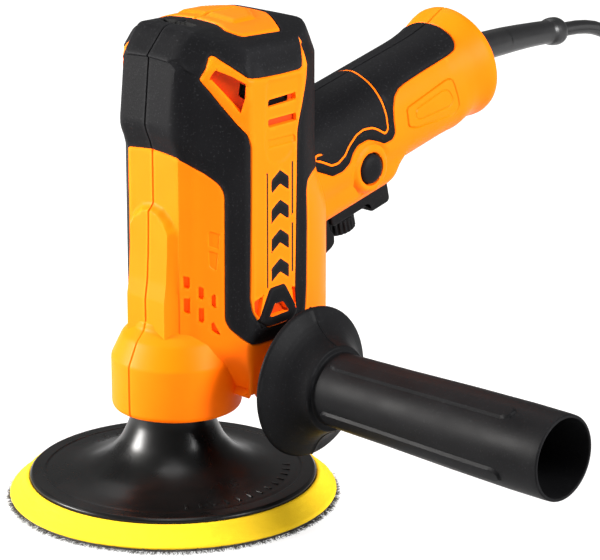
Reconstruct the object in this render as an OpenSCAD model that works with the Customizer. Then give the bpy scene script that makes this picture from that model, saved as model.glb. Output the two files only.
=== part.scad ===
// Dual action polisher: upright motor housing, rear handle, side handle and an orbiting pad.
// Millimetres. +Z is up, +X points to the rear handle, -Y to the side handle.
// The origin is on the spindle axis, at the pad's working face.

/* [Pad] */
// Diameter of the foam pad
pad_d = 125; // [120:1:130]
// Thickness of the foam
foam_t = 6; // [5:0.5:6]
// Diameter of the backing plate's rim
plate_d = 109.6; // [106:0.2:112]
// Diameter of the circle that the pad's axis runs on
orbit_d = 5; // [3:0.5:5]

/* [Housing] */
// Width of the motor housing
body_w = 66.4; // [66.4:0.4:66.4]
// Height of the whole machine
body_h = 182.5; // [180:0.5:182.5]
// Wall thickness of the housing shells
wall = 1.8; // [1.6:0.1:1.9]
// Thickness of the soft black cover on the housing
cover_t = 1.8; // [1.4:0.1:1.8]
// Diameter of the round collar over the spindle
collar_d = 49.4; // [49:0.2:52]

/* [Drive] */
// Teeth on the large gear
gear_teeth = 32; // [32:8:32]
// Teeth on the motor's pinion
pinion_teeth = 8; // [8:8:8]
// Distance between the motor shaft and the spindle
gear_centres = 20; // [20:1:20]

/* [Rear handle] */
// Diameter of the handle
handle_d = 39; // [39:0.5:40]
// Angle of the handle above the horizontal
handle_tilt = 13.4; // [13:0.1:14]
// Diameter of the flange at the handle's end
flange_d = 47; // [44:0.5:50]

/* [Side handle] */
// Diameter of the grip at its open end
grip_d = 31.4; // [30:0.2:33]
// Diameter of the hand guard flange
guard_d = 57.8; // [54:0.2:60]
// Distance from the spindle to the end of the grip
grip_reach = 165.5; // [150:0.5:165.5]

/* [Cord] */
// Width of the flat mains cord
cord_d = 6; // [6:0.5:6]
// Radius of the coil at the middle of its turns
coil_r = 33; // [33:1:36]

/* [Hidden] */
$fn = 64;
eps = 0.02;

orange = "darkorange";
black = "dimgray";
steel = "silver";

// Pad and orbit. The pad's axis stands off the spindle towards +Y at rest.
orbit_r = orbit_d / 2;
hook_t = 1.5;
foam_top = hook_t + foam_t;
plate_r = plate_d / 2;
plate_rim_top = 10.6;
hub_top = 38.4;
hub_r = 15.4;

// Drive. Gear module 1, so the tooth counts give the pitch diameters.
motor_x = gear_centres;
gear_z = 55.4;
gear_t = 5.8;
addendum = 0.8;
dedendum = 1.1;
run_gap = 0.03;
cup_z = 38.8;
cup_top = 47.6;
cup_r = 16;
weight_r = 20;
stator_z = 92;
stator_h = 40;

// Housing. The plan is a flat nose, slanted cheeks, straight sides and a round back.
half_w = body_w / 2;
nose_x = -16;
nose_y = 12.3;
cheek_x = 6.7;
back_x = 33.8;
collar_r = collar_d / 2;
collar_bottom = 37;
block_floor = 38;
block_back = 48;
block_y = 31.9;
body_floor = 62;
skin = wall + cover_t;

// Rear handle: a tilted axis through its middle, and the trigger's own tilted frame.
handle_x = 116;
handle_z = 134.5;
handle_r = handle_d / 2;
pod_y = 18;
trigger_x = 75;
trigger_z = 95;
lock_at = [87.4, 115.8];
lock_r = 6;
dial_a = 11.5;
dial_r = 8;
strain_z = 146.4;
strain_end = 228;

// Side handle: its axis runs along -Y through a boss on each side of the gear case.
boss_x = 26.2;
boss_z = 49.8;
boss_r = 8.5;
boss_y = 41;
thread_r = 3.4;
thread_depth = 22;
stud_r = 4;

// Cord: the free stretch, the coil, and the tail that ends in the plug.
cord_r = cord_d / 2;
tie_t = 1;
coil_at = [262, -60];
lead_path = [
    [228, 0, 146.4], [240, 0, 146], [252, 0, 144], [264, 0, 139], [274, 0, 131],
    [282, -1, 120], [288, -2, 106], [292, -4, 90], [295, -6, 73], [297, -9, 57],
    [298.5, -14, 43], [299, -23, 32], [298, -34, 25.5], [295.5, -45, 23],
    [294.5, -54, 21.5], [292.4, -62.7, 19], [290.2, -70.3, 16.5]
];
tail_path = [
    [301, -60, 4], [300.8, -68, 4.6], [300.4, -76, 6.5], [299.6, -84, 9.5],
    [298.6, -92, 12.3], [298, -100, 13.5]
];
plug_x = 298;
plug_y = -100;
plug_z = 13.5;

// Screw positions, in the plane between the two housing shells: [x, z].
case_screw_at = [[-4, 150], [52, 150], [54, 88], [42.5, 46], [66, 133], [128.5, 125]];
case_boss_r = 4;
case_screw_r = 1.6;
case_head_r = 3.2;
case_head_y = 12;

// Plate screws of the gear case: [x, y].
plate_screw_at = [[8, 22.5], [8, -22.5], [32, 22.5], [32, -22.5]];

// A prism along Y over an outline drawn in X and Z.
module side_prism(points, y0, y1) {
    translate([0, y1, 0]) rotate([90, 0, 0]) linear_extrude(y1 - y0) polygon(points);
}

// A ring about the vertical axis at [x, y].
module ring(x, y, z, r_in, r_out, h) {
    translate([x, y, z]) difference() {
        cylinder(r = r_out, h = h);
        translate([0, 0, -1]) cylinder(r = r_in, h = h + 2);
    }
}

// Places children in the handle's frame: local Z runs up the handle towards the cord.
module on_handle() {
    translate([handle_x, 0, handle_z]) rotate([0, 90 - handle_tilt, 0]) children();
}

// Places children in the trigger's frame: local X along the handle, local Z into it.
module on_trigger() {
    translate([trigger_x, 0, trigger_z]) rotate([0, -handle_tilt, 0]) children();
}

// Places children on the side handle's axis: local Z runs out along -Y.
module on_side_axis() {
    translate([boss_x, 0, boss_z]) rotate([90, 0, 0]) children();
}

module left_half() {
    intersection() {
        children();
        translate([-100, -100, 0]) cube([400, 100, 220]);
    }
}

module right_half() {
    intersection() {
        children();
        translate([-100, 0, 0]) cube([400, 100, 220]);
    }
}

// Plan of the motor housing, drawn in by w on every side.
function plan(w) = [
    [nose_x + w, nose_y - 0.33 * w], [cheek_x + 0.5 * w, half_w - w],
    [back_x, half_w - w], [back_x, w - half_w], [cheek_x + 0.5 * w, w - half_w],
    [nose_x + w, 0.33 * w - nose_y]
];

// Side outline of the motor housing, drawn in by w.
function profile(w) = [
    [-16 + w, body_floor], [-14 + w, 112], [-11.6 + w, 118], [-11.5 + w, 139],
    [-14.7 + w, 149], [-12.2 + w, 173.6 - w / 2], [-4.3 + w / 2, body_h - w],
    [36, body_h - w], [50, 179.5 - w], [58.5 - w, 172 - w / 2], [65 - w, 112],
    [65 - w, body_floor]
];

// Motor housing block above the gear case.
module body_block(w) {
    intersection() {
        union() {
            translate([0, 0, body_floor]) linear_extrude(140) polygon(plan(w));
            translate([back_x, 0, body_floor]) cylinder(r = half_w - w, h = 140);
        }
        side_prism(profile(w), -50, 50);
    }
}

module collar_outside() {
    rotate_extrude() polygon([
        [0, collar_bottom], [collar_r - 0.8, collar_bottom], [collar_r, collar_bottom + 1.4],
        [collar_r, 57.4], [collar_r - 4, 65.8], [collar_r - 8, 70], [collar_r - 8, 76], [0, 76]
    ]);
}

module collar_inside() {
    rotate_extrude() polygon([
        [0, collar_bottom - 1], [collar_r - 2.6, collar_bottom - 1], [collar_r - 2.6, 56.5],
        [collar_r - 3.7, 62.2], [collar_r - 5.8, 65.8], [collar_r - 10, 70], [0, 70]
    ]);
}

// Low block behind the collar that holds the gear case and its two side bosses.
module low_block(w) {
    translate([0, w - block_y, block_floor + w])
        cube([block_back - w, 2 * (block_y - w), body_floor - block_floor + 6 - w]);
}

// Side outline of the switch housing under the handle, drawn in by w.
function pod(w) = [
    [54, 82 + 2 * w], [trigger_x - w / 2, trigger_z + 1.1 * w], [110 - w / 2, 103 + 1.1 * w],
    [113 - w, 107 + w], [117.5 - w, 113.5 + w / 2], [122 - w, 117 + w / 2],
    [118, 134], [54, 122]
];

module handle_outside() {
    on_handle() rotate_extrude() polygon([
        [0, -60], [handle_r, -60], [handle_r, 20], [handle_r + 0.7, 28],
        [handle_r + 2.2, 35], [flange_d / 2, 40], [flange_d / 2, 43.5],
        [flange_d / 2 - 1.5, 45], [17, 46], [11, 54], [0, 54]
    ]);
}

module handle_inside() {
    on_handle() rotate_extrude() polygon([
        [0, -70], [handle_r - skin, -70], [handle_r - skin, 30], [handle_r - 2, 40], [0, 40]
    ]);
}

module lock_frame() {
    translate([lock_at[0], 0, lock_at[1]]) rotate([90, 0, 0]) children();
}

module housing_outside() {
    body_block(0);
    collar_outside();
    low_block(0);
    side_prism(pod(0), -pod_y, pod_y);
    handle_outside();
    lock_frame() cylinder(r = lock_r + 3, h = pod_y + 2);
    on_side_axis() translate([0, 0, 30]) cylinder(r = 12.5, h = 10.5);
    mirror([0, 1, 0]) on_side_axis() translate([0, 0, 30]) cylinder(r = 12.5, h = 10.5);
}

module housing_inside() {
    body_block(skin);
    collar_inside();
    difference() {
        low_block(2.4);
        translate([-20, -50, 0]) cube([20 + 2.4, 100, 80]);
    }
    intersection() {
        translate([0, -30, 50]) cube([40, 60, 30]);
        body_block(skin);
    }
    side_prism(pod(2.6), 2.6 - pod_y, pod_y - 2.6);
    handle_inside();
    translate([10, -25, 50]) cube([24, 50, 20]);
}

// Holes for the trigger, lock button, side handle bosses and cord sleeve.
module housing_holes() {
    on_trigger() translate([1.5, -9, -12]) cube([35, 18, 24]);
    lock_frame() cylinder(r = lock_r + 0.1, h = pod_y + 8);
    on_side_axis() translate([0, 0, -60]) cylinder(r = boss_r, h = 120);
    translate([150, 0, strain_z]) rotate([0, 90, 0]) cylinder(r = 6.4, h = 30);
}

// Where the soft black cover lies, as seen from the side.
module cover_area() {
    side_prism([
        [-30, 146], [-16, 143], [-5, 139], [-4, 82], [4, 74], [8, 70], [34, 70],
        [38, 74], [38, 138], [42, 150], [70, 150], [70, 190], [-30, 190]
    ], -50, 50);
}

module handle_cover_area() {
    side_prism([
        [48, 103], [70, 103], [77, 113], [83, 121], [90, 124], [97, 119], [102, 121],
        [108, 143], [141, 151], [143, 172], [48, 172]
    ], -50, 50);
}

module cover_layer() {
    difference() {
        intersection() {
            body_block(0);
            cover_area();
        }
        body_block(cover_t);
        side_prism([[66, 0], [300, 0], [300, 300], [66, 300]], -50, 50);
        on_handle() translate([0, 0, -70]) cylinder(r = handle_r + 0.1, h = 90);
        top_opening();
        panel_opening();
        mirror([0, 1, 0]) panel_opening();
    }
}

module handle_cover_layer() {
    difference() {
        intersection() {
            on_handle() translate([0, 0, -60]) cylinder(r = handle_r, h = 80);
            handle_cover_area();
        }
        on_handle() translate([0, 0, -61]) cylinder(r = handle_r - 1.4, h = 90);
        body_block(0);
        lock_frame() translate([0, 0, -30]) cylinder(r = lock_r + 3.2, h = 60);
        side_prism(pod(0), -pod_y, pod_y);
    }
}

module top_outline() {
    polygon([[-6, 14], [8, 26], [28, 26], [45, 8], [45, -8], [28, -26], [8, -26], [-6, -14]]);
}

module top_opening() {
    translate([0, 0, body_h - 3.6]) linear_extrude(10) top_outline();
}

module panel_opening() {
    side_prism([[8, 77], [30, 77], [33, 168], [8, 168]], -half_w - 5, 3 - half_w);
}

// Round pillars that take the case screws, from wall to wall.
module case_pillars() {
    intersection() {
        for (p = case_screw_at)
            translate([p[0], 60, p[1]]) rotate([90, 0, 0]) cylinder(r = case_boss_r, h = 120);
        union() {
            body_block(wall);
            low_block(1);
            on_handle() translate([0, 0, -60]) cylinder(r = handle_r - 2, h = 90);
        }
    }
}

module case_screw_holes() {
    for (p = case_screw_at) {
        translate([p[0], case_head_y, p[1]]) rotate([90, 0, 0])
            cylinder(r = case_screw_r, h = 2 * case_head_y);
        translate([p[0], 60, p[1]]) rotate([90, 0, 0])
            cylinder(r = case_head_r + 0.2, h = 60 - case_head_y);
    }
}

module housing_shell() {
    difference() {
        union() {
            difference() {
                housing_outside();
                housing_inside();
            }
            case_pillars();
        }
        cover_layer();
        handle_cover_layer();
        top_opening();
        panel_opening();
        mirror([0, 1, 0]) panel_opening();
        case_screw_holes();
        housing_holes();
    }
}

module housing_left() { color(orange) left_half() housing_shell(); }
module housing_right() { color(orange) right_half() housing_shell(); }
module cover_left() { color(black) left_half() cover_layer(); }
module cover_right() {
    color(black) right_half() difference() {
        cover_layer();
        case_screw_holes();
    }
}
module handle_cover_left() { color(black) left_half() handle_cover_layer(); }
module handle_cover_right() {
    color(black) right_half() difference() {
        handle_cover_layer();
        case_screw_holes();
    }
}

// Orange insert in the top, with a raised middle and two slots.
module top_insert() {
    slots_x = [4, 44];
    color(orange) difference() {
        union() {
            translate([0, 0, body_h - 3.6]) linear_extrude(3.2) top_outline();
            translate([10, -14, body_h - 1]) cube([24, 28, 1]);
        }
        for (x = slots_x) translate([x - 1, -8.5, body_h - 2]) cube([2, 17, 5]);
    }
}

module panel_left() {
    color(orange)
        side_prism([[8, 77], [30, 77], [33, 168], [8, 168]], -half_w - 0.6, 3 - half_w);
}
module panel_right() { color(orange) mirror([0, 1, 0]) panel_left(); }

// Black filler between the trigger and the back of the motor housing.
module trigger_bezel() {
    color(black) difference() {
        side_prism([[60, 74], [66, 76], [71, 82], [74, 86], [74, 94], [60, 84]], -8, 8);
        body_block(0);
        side_prism(pod(0), -pod_y, pod_y);
    }
}

module case_screws() {
    color(steel) for (p = case_screw_at) {
        translate([p[0], case_head_y, p[1]]) rotate([90, 0, 0])
            cylinder(r = case_screw_r, h = 2 * case_head_y - 1);
        translate([p[0], case_head_y + 2.4, p[1]]) rotate([90, 0, 0])
            cylinder(r = case_head_r, h = 2.4);
    }
}

// Cast case round the gears, with the lower spindle bearing's seat and the side bosses.
module gear_case() {
    color(steel) difference() {
        union() {
            translate([0, 0, 47.9]) cylinder(r = 20.4, h = 12.6);
            translate([motor_x, 0, 52]) cylinder(r = 9.5, h = 10);
            translate([13, -27, 48.2]) cube([21, 54, 6.6]);
            translate([3, -26, 57.5]) cube([33, 52, 4.5]);
            for (side = [0, 1]) mirror([0, side, 0]) on_side_axis()
                translate([0, 0, 12]) cylinder(r = boss_r, h = boss_y - 12);
        }
        translate([0, 0, 55]) cylinder(r = 17.6, h = 20);
        translate([motor_x, 0, 55]) cylinder(r = 6.2, h = 20);
        translate([0, 0, 48.6]) cylinder(r = 12, h = 10);
        translate([0, 0, 40]) cylinder(r = 7, h = 20);
        for (side = [0, 1]) mirror([0, side, 0]) on_side_axis()
            translate([0, 0, boss_y - thread_depth]) cylinder(r = thread_r, h = 30);
        plate_screw_holes();
    }
}

module plate_screw_holes() {
    for (p = plate_screw_at) translate([p[0], p[1], 57]) cylinder(r = 2, h = 12);
}

// Plate over the gears that seats the upper spindle bearing and the lower motor bearing.
module gear_cover() {
    color(steel) difference() {
        union() {
            translate([0, 0, 62]) cylinder(r = 18.4, h = 2.5);
            translate([4, -26, 62]) cube([32, 52, 2.5]);
            translate([0, 0, 62]) cylinder(r = 10, h = 6.2);
            translate([motor_x, 0, 62]) cylinder(r = 13, h = 8.8);
        }
        translate([0, 0, 61]) cylinder(r = 5.4, h = 10);
        translate([0, 0, 62.6]) cylinder(r = 8, h = 20);
        translate([motor_x, 0, 61]) cylinder(r = 6.5, h = 10);
        translate([motor_x, 0, 63.2]) cylinder(r = 11, h = 10);
        plate_screw_holes();
    }
}

module gear_case_screws() {
    color("dimgray") for (p = plate_screw_at) translate([p[0], p[1], 57.5]) {
        cylinder(r = 2, h = 7);
        translate([0, 0, 7]) cylinder(r = 3.5, h = 3);
    }
}

// Output spindle with the offset cup that carries the orbit bearing.
module spindle() {
    color(steel) difference() {
        union() {
            translate([0, 0, cup_z]) cylinder(r = cup_r, h = cup_top - cup_z);
            translate([0, 0, cup_top - eps]) cylinder(r = 6 - run_gap, h = 7.6);
            translate([0, 0, 55]) cylinder(r = 5, h = 6.6);
            translate([0, 0, 61]) cylinder(r = 4 - run_gap, h = 7.2);
        }
        translate([0, orbit_r, cup_z - 1]) cylinder(r = 11, h = 7.4);
        translate([0, orbit_r, cup_z]) cylinder(r = 8, h = 7.6);
    }
}

// Half ring opposite the offset cup, which balances the orbiting pad.
module counterweight() {
    color("dimgray") intersection() {
        ring(0, 0, 39.4, cup_r, weight_r, 7.6);
        translate([-30, -30, 0]) cube([60, 26, 80]);
    }
}

module ball_bearing(x, y, z, r_in, r_out, h) {
    color(steel) ring(x, y, z, r_in, r_out, h);
}

module spindle_bearing_lower() { ball_bearing(0, 0, 48.6, 6, 12, 6); }
module spindle_bearing_upper() { ball_bearing(0, 0, 62.6, 4, 8, 5); }
module orbit_bearing() { ball_bearing(0, orbit_r, 39.2, 5, 11, 6); }
module motor_bearing_lower() { ball_bearing(motor_x, 0, 63.2, 4, 11, 7); }
module motor_bearing_upper() { ball_bearing(motor_x, 0, 160, 4, 11, 7); }

// Outline of a spur gear of module 1 with straight-sided teeth.
module gear_outline(teeth, phase) {
    pitch_r = teeth / 2;
    root_r = pitch_r - dedendum;
    tip_r = pitch_r + addendum;
    polygon([
        for (i = [0 : teeth - 1], k = [0 : 3])
            let (
                r = (k == 0 || k == 3) ? root_r : tip_r,
                half = (k == 0 || k == 3) ? 0.8 : 0.36,
                side = k < 2 ? -1 : 1,
                a = phase + i * 360 / teeth + side * asin(half / r)
            )
            r * [cos(a), sin(a)]
    ]);
}

module drive_gear() {
    color(steel) difference() {
        translate([0, 0, gear_z]) linear_extrude(gear_t) gear_outline(gear_teeth, 0);
        translate([0, 0, gear_z - 1]) cylinder(r = 5, h = 20);
    }
}

module pinion() {
    color(steel) translate([motor_x, 0, gear_z]) difference() {
        linear_extrude(gear_t) gear_outline(pinion_teeth, 180 / pinion_teeth);
        translate([0, 0, -1]) cylinder(r = 2, h = 20);
    }
}

// Stub that the pad screws onto, held in the orbit bearing.
module pad_spindle() {
    color(steel) translate([0, orbit_r, 0]) {
        translate([0, 0, 14]) cylinder(r = 4, h = hub_top - 14);
        translate([0, 0, hub_top]) cylinder(r = 6.4, h = 0.6);
        translate([0, 0, hub_top]) cylinder(r = 5 - run_gap, h = 7.4);
        translate([0, 0, hub_top + 7.1]) cylinder(r = 6.4, h = 0.7);
    }
}

module pad_insert() {
    color("goldenrod") ring(0, orbit_r, 14, 4, 7.5, hub_top - 14);
}

module backing_plate() {
    color("dimgray") translate([0, orbit_r, 0]) difference() {
        rotate_extrude($fn = 96) polygon([
            [0, foam_top], [plate_r, foam_top], [plate_r, plate_rim_top - 0.6],
            [plate_r - 0.6, plate_rim_top], [47, plate_rim_top - 0.2], [40, 11.2], [33, 13],
            [27, 16], [22, 20.4], [18.6, 25.6], [16.4, 31], [hub_r, 37], [hub_r, hub_top],
            [0, hub_top]
        ]);
        translate([0, 0, 14]) cylinder(r = 7.5, h = 40);
    }
}

module pad_foam() {
    pad_r = pad_d / 2;
    color("gold") translate([0, orbit_r, 0]) rotate_extrude($fn = 96) polygon([
        [0, hook_t], [pad_r, hook_t], [pad_r, hook_t + 1], [pad_r - 2.4, 4.6],
        [pad_r - 4.8, 6.6], [plate_r + 1.2, 8.6], [plate_r, 8.8], [plate_r, foam_top],
        [0, foam_top]
    ]);
}

module hook_layer() {
    color("dimgray") translate([0, orbit_r, 0]) cylinder(r = pad_d / 2 - 0.2, h = hook_t, $fn = 96);
}

module motor_shaft() {
    color(steel) translate([motor_x, 0, 0]) {
        translate([0, 0, 55.2]) cylinder(r = 2, h = 8);
        translate([0, 0, 63]) cylinder(r = 4 - run_gap, h = 104.6);
    }
}

module cooling_fan() {
    blades = 11;
    color("dimgray") translate([motor_x, 0, 73]) difference() {
        union() {
            cylinder(r = 7, h = 9);
            translate([0, 0, 7.6]) cylinder(r = 27, h = 1.4);
            for (i = [0 : blades - 1]) rotate([0, 0, i * 360 / blades])
                translate([6, -0.6, 0]) cube([20, 1.2, 8]);
        }
        translate([0, 0, -1]) cylinder(r = 4 - run_gap, h = 20);
    }
}

module armature_core() {
    slots = 12;
    color(steel) translate([motor_x, 0, stator_z]) difference() {
        cylinder(r = 15.2, h = stator_h);
        translate([0, 0, -1]) cylinder(r = 4 - run_gap, h = stator_h + 2);
        for (i = [0 : slots - 1]) rotate([0, 0, i * 360 / slots])
            translate([11, -1.2, -1]) cube([6, 2.4, stator_h + 2]);
    }
}

module armature_windings() {
    color("chocolate") for (z = [stator_z - 7, stator_z + stator_h])
        ring(motor_x, 0, z, 4 - run_gap, 13.4, 7);
}

module commutator() {
    color("peru") {
        ring(motor_x, 0, 141, 4 - run_gap, 12.4, 2);
        ring(motor_x, 0, 143, 4 - run_gap, 11, 13);
    }
}

module field_pole(r) {
    intersection() {
        cylinder(r = r, h = stator_h);
        translate([-11, -r, 0]) cube([22, 2 * r, stator_h]);
    }
}

module motor_stator() {
    color(steel) translate([motor_x, 0, stator_z]) difference() {
        union() {
            ring(0, 0, 0, 20.6, 25.5, stator_h);
            field_pole(21);
        }
        translate([0, 0, -1]) cylinder(r = 15.8, h = stator_h + 2);
    }
}

module field_coils() {
    color("chocolate") translate([motor_x, 0, stator_z - 6]) difference() {
        ring(0, 0, 0, 16.2, 20.4, stator_h + 12);
        translate([-11.2, -30, 5.8]) cube([22.4, 60, stator_h + 0.4]);
        translate([-30, -4, -1]) cube([60, 8, stator_h + 20]);
    }
}

// Plate under the stator that guides cooling air into the fan.
module air_baffle() {
    color("dimgray") difference() {
        translate([motor_x, 0, 83.2]) cylinder(r = 27.5, h = 2.2);
        translate([motor_x, 0, 80]) cylinder(r = 21, h = 10);
    }
}

module brush_holders() {
    color("goldenrod") for (side = [-1, 1]) translate([motor_x, side * 20.5, 149.5])
        difference() {
            cube([9, 14, 13], center = true);
            cube([6.4, 20, 9.4], center = true);
        }
}

module carbon_brushes() {
    color("dimgray") for (side = [-1, 1])
        translate([motor_x, side * 17.6, 149.5]) cube([6.4, 12.8, 9.4], center = true);
}

module motor_end_bracket() {
    color("dimgray") difference() {
        union() {
            translate([motor_x - 7, -28.5, 156]) cube([14, 57, 2.6]);
            translate([motor_x, 0, 156]) cylinder(r = 13.5, h = 12);
        }
        translate([motor_x, 0, 150]) cylinder(r = 5.5, h = 20);
        translate([motor_x, 0, 160]) cylinder(r = 11, h = 20);
    }
}

module switch_body() {
    color("dimgray") on_trigger() translate([4, -10, 12.6]) cube([30, 20, 14]);
}

// Trigger block with a lip inside the housing and a pocket for the speed dial.
module trigger() {
    color(black) on_trigger() difference() {
        union() {
            translate([2, -8.5, -7.5]) cube([34, 17, 13]);
            translate([2, -11, 3.9]) cube([34, 22, 1.7]);
        }
        translate([dial_a, 0, -12]) cylinder(r = dial_r + 0.7, h = 8.2);
        translate([dial_a, 0, -6]) cylinder(r = 1.85, h = 8);
    }
}

module trigger_spring() {
    color(steel) on_trigger() ring(26, 0, 5.8, 2.2, 3.2, 6.6);
}

module speed_dial() {
    ribs = 18;
    color(black) on_trigger() translate([dial_a, 0, -10.4]) union() {
        difference() {
            cylinder(r = dial_r, h = 6);
            for (i = [0 : ribs - 1]) rotate([0, 0, i * 360 / ribs])
                translate([dial_r - 0.6, -0.5, 0.8]) cube([2, 1, 6]);
        }
        cylinder(r = 1.8, h = 12);
    }
}

module speed_board() {
    color("darkgreen") on_handle() {
        translate([-2, -12, -12]) cube([1.6, 24, 30]);
        translate([-0.4, -8, -8]) cube([6, 10, 8]);
        translate([-0.4, -4, 4]) cube([8, 9, 9]);
    }
}

module noise_capacitor() {
    color("khaki") on_handle() translate([-8, 5, -10]) cylinder(r = 5, h = 18);
}

module lock_button() {
    color(black) lock_frame() {
        translate([0, 0, 15.2]) cylinder(r = lock_r, h = 6.4);
        translate([0, 0, 14.2]) cylinder(r = lock_r + 1.2, h = 1);
    }
}

module lock_spring() {
    color(steel) lock_frame() ring(0, 0, 10.3, 3, 4, 3.8);
}

// Bar that grips the cord inside the handle.
module cord_clamp() {
    color("dimgray") on_handle() difference() {
        translate([-7, -11, 24]) cube([11, 22, 7]);
        translate([-1.5, 0, 20]) cylinder(r = cord_r + 0.1, h = 20);
        for (y = [-8, 8]) translate([-20, y, 27.5]) rotate([0, 90, 0]) cylinder(r = 1.5, h = 40);
    }
}

module clamp_screws() {
    color(steel) on_handle() for (y = [-8, 8]) translate([-7, y, 27.5]) rotate([0, 90, 0]) {
        translate([0, 0, -2]) cylinder(r = 2.6, h = 2);
        cylinder(r = 1.5, h = 14);
    }
}

module strain_relief() {
    color("dimgray") translate([0, 0, strain_z]) rotate([0, 90, 0]) rotate_extrude() polygon([
        [0, 148], [8.5, 148], [8.5, 150.5], [6.2, 151.5], [6.2, 172], [5.4, 200],
        [5, 219], [5.7, 221], [5.9, 224], [5.6, 227], [4.6, strain_end], [0, strain_end]
    ]);
}

module inner_lead() {
    color("dimgray") on_handle() translate([-1.5, 0, 20]) cylinder(r = cord_r, h = 12);
}

// Unit vector along a path at one of its points.
function path_dir(path, i) =
    let (a = path[max(i - 1, 0)], b = path[min(i + 1, len(path) - 1)]) (b - a) / norm(b - a);

// Points of a round tube along a path, one ring of sides for each point.
function tube_points(path, r, sides) = [
    for (i = [0 : len(path) - 1])
        let (
            d = path_dir(path, i),
            u = cross(d, abs(d[1]) > 0.8 ? [1, 0, 0] : [0, 1, 0]),
            side = u / norm(u),
            up = cross(side, d)
        )
        for (k = [0 : sides - 1])
            let (a = k * 360 / sides)
            path[i] + r * (side * cos(a) + up * sin(a))
];

function tube_faces(rings, sides) = concat(
    [[for (k = [0 : sides - 1]) k]],
    [[for (k = [sides - 1 : -1 : 0]) (rings - 1) * sides + k]],
    [for (i = [0 : rings - 2], k = [0 : sides - 1])
        let (n = (k + 1) % sides)
        [i * sides + k, (i + 1) * sides + k, (i + 1) * sides + n, i * sides + n]]
);

module tube(path, r, sides) {
    polyhedron(tube_points(path, r, sides), tube_faces(len(path), sides));
}

module cord_lead() { color("dimgray") tube(lead_path, cord_r, 10); }
module cord_tail() { color("dimgray") tube(tail_path, cord_r, 10); }

module cord_coil() {
    in_r = coil_r - 3 * cord_r;
    out_r = coil_r + 3 * cord_r;
    top = tie_t + 6 * cord_r;
    color("dimgray") translate([coil_at[0], coil_at[1], 0]) rotate_extrude() polygon([
        [in_r, tie_t], [out_r, tie_t], [out_r, top - 2 * cord_r], [out_r - cord_r, top],
        [in_r + cord_r, top], [in_r, top - 2 * cord_r]
    ]);
}

// Band round the coil's turns on the side away from the plug.
module cord_tie() {
    in_r = coil_r - 3 * cord_r;
    wide = 6 * cord_r;
    high = 6 * cord_r;
    color("dimgray") translate([coil_at[0] - in_r - wide / 2, coil_at[1], tie_t + high / 2])
        difference() {
            cube([wide + 2 * tie_t + 0.6, 4, high + 2 * tie_t], center = true);
            cube([wide + 0.6, 6, high], center = true);
        }
}

module plug_body() {
    color("dimgray") translate([plug_x, plug_y, plug_z]) rotate([90, 0, 0]) {
        cylinder(r1 = 4.2, r2 = 6.5, h = 19);
        translate([0, 0, 18]) linear_extrude(28) polygon([
            [-17.5, -8], [-12.5, -13.5], [12.5, -13.5], [17.5, -8],
            [17.5, 8], [12.5, 13.5], [-12.5, 13.5], [-17.5, 8]
        ]);
    }
}

module plug_pins() {
    color(steel) for (side = [-1, 1]) translate([plug_x + side * 9.5, plug_y - 46, plug_z])
        rotate([90, 0, 0]) cylinder(r = 2.4, h = 19);
}

// Hand guard and hollow grip, turned about the stud's axis.
module side_grip() {
    grip_r = grip_d / 2;
    color(black) on_side_axis() rotate_extrude() polygon([
        [stud_r, 41.4], [14, 41.4], [24, 43], [guard_d / 2, 44.2], [guard_d / 2, 46.4],
        [22.4, 48.6], [17.4, 52.6], [15, 58], [14.2, 66], [14.6, 90], [15.4, 120],
        [grip_r + 0.2, 150], [grip_r, grip_reach], [grip_r - 2.3, grip_reach],
        [grip_r - 3, 92], [grip_r - 4, 88], [stud_r, 88]
    ]);
}

module grip_stud() {
    color(steel) on_side_axis() {
        translate([0, 0, boss_y - thread_depth + 1]) cylinder(r = thread_r, h = thread_depth - 1);
        translate([0, 0, boss_y]) cylinder(r = stud_r, h = 43);
    }
}

housing_left();
housing_right();
cover_left();
cover_right();
top_insert();
panel_left();
panel_right();
handle_cover_left();
handle_cover_right();
trigger_bezel();
case_screws();
gear_case();
gear_cover();
gear_case_screws();
spindle();
counterweight();
spindle_bearing_lower();
spindle_bearing_upper();
drive_gear();
orbit_bearing();
pad_spindle();
pad_insert();
backing_plate();
pad_foam();
hook_layer();
motor_shaft();
pinion();
cooling_fan();
armature_core();
armature_windings();
commutator();
motor_bearing_lower();
motor_bearing_upper();
motor_stator();
field_coils();
air_baffle();
brush_holders();
carbon_brushes();
motor_end_bracket();
switch_body();
trigger();
trigger_spring();
speed_dial();
speed_board();
noise_capacitor();
lock_button();
lock_spring();
cord_clamp();
clamp_screws();
strain_relief();
inner_lead();
cord_lead();
cord_coil();
cord_tail();
cord_tie();
plug_body();
plug_pins();
side_grip();
grip_stud();
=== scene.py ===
import math

import bpy
import numpy as np
from mathutils import Matrix, Vector, noise


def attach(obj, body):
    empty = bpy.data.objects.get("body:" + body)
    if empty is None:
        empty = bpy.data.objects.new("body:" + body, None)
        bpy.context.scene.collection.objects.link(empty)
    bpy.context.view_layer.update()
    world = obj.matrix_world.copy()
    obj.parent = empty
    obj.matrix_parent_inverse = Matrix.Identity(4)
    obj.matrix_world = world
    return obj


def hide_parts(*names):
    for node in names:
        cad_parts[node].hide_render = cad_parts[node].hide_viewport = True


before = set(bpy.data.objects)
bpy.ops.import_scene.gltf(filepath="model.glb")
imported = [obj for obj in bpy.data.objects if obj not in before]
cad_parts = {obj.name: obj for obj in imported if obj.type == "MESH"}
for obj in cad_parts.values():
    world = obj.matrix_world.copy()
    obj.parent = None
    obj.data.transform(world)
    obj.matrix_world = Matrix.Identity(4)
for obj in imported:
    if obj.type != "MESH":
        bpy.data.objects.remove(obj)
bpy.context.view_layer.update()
MM = 0.001  # every size below is in millimetres until a mesh is made
rng = np.random.default_rng(7)


# ---------------------------------------------------------------- camera, floor, light

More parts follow.
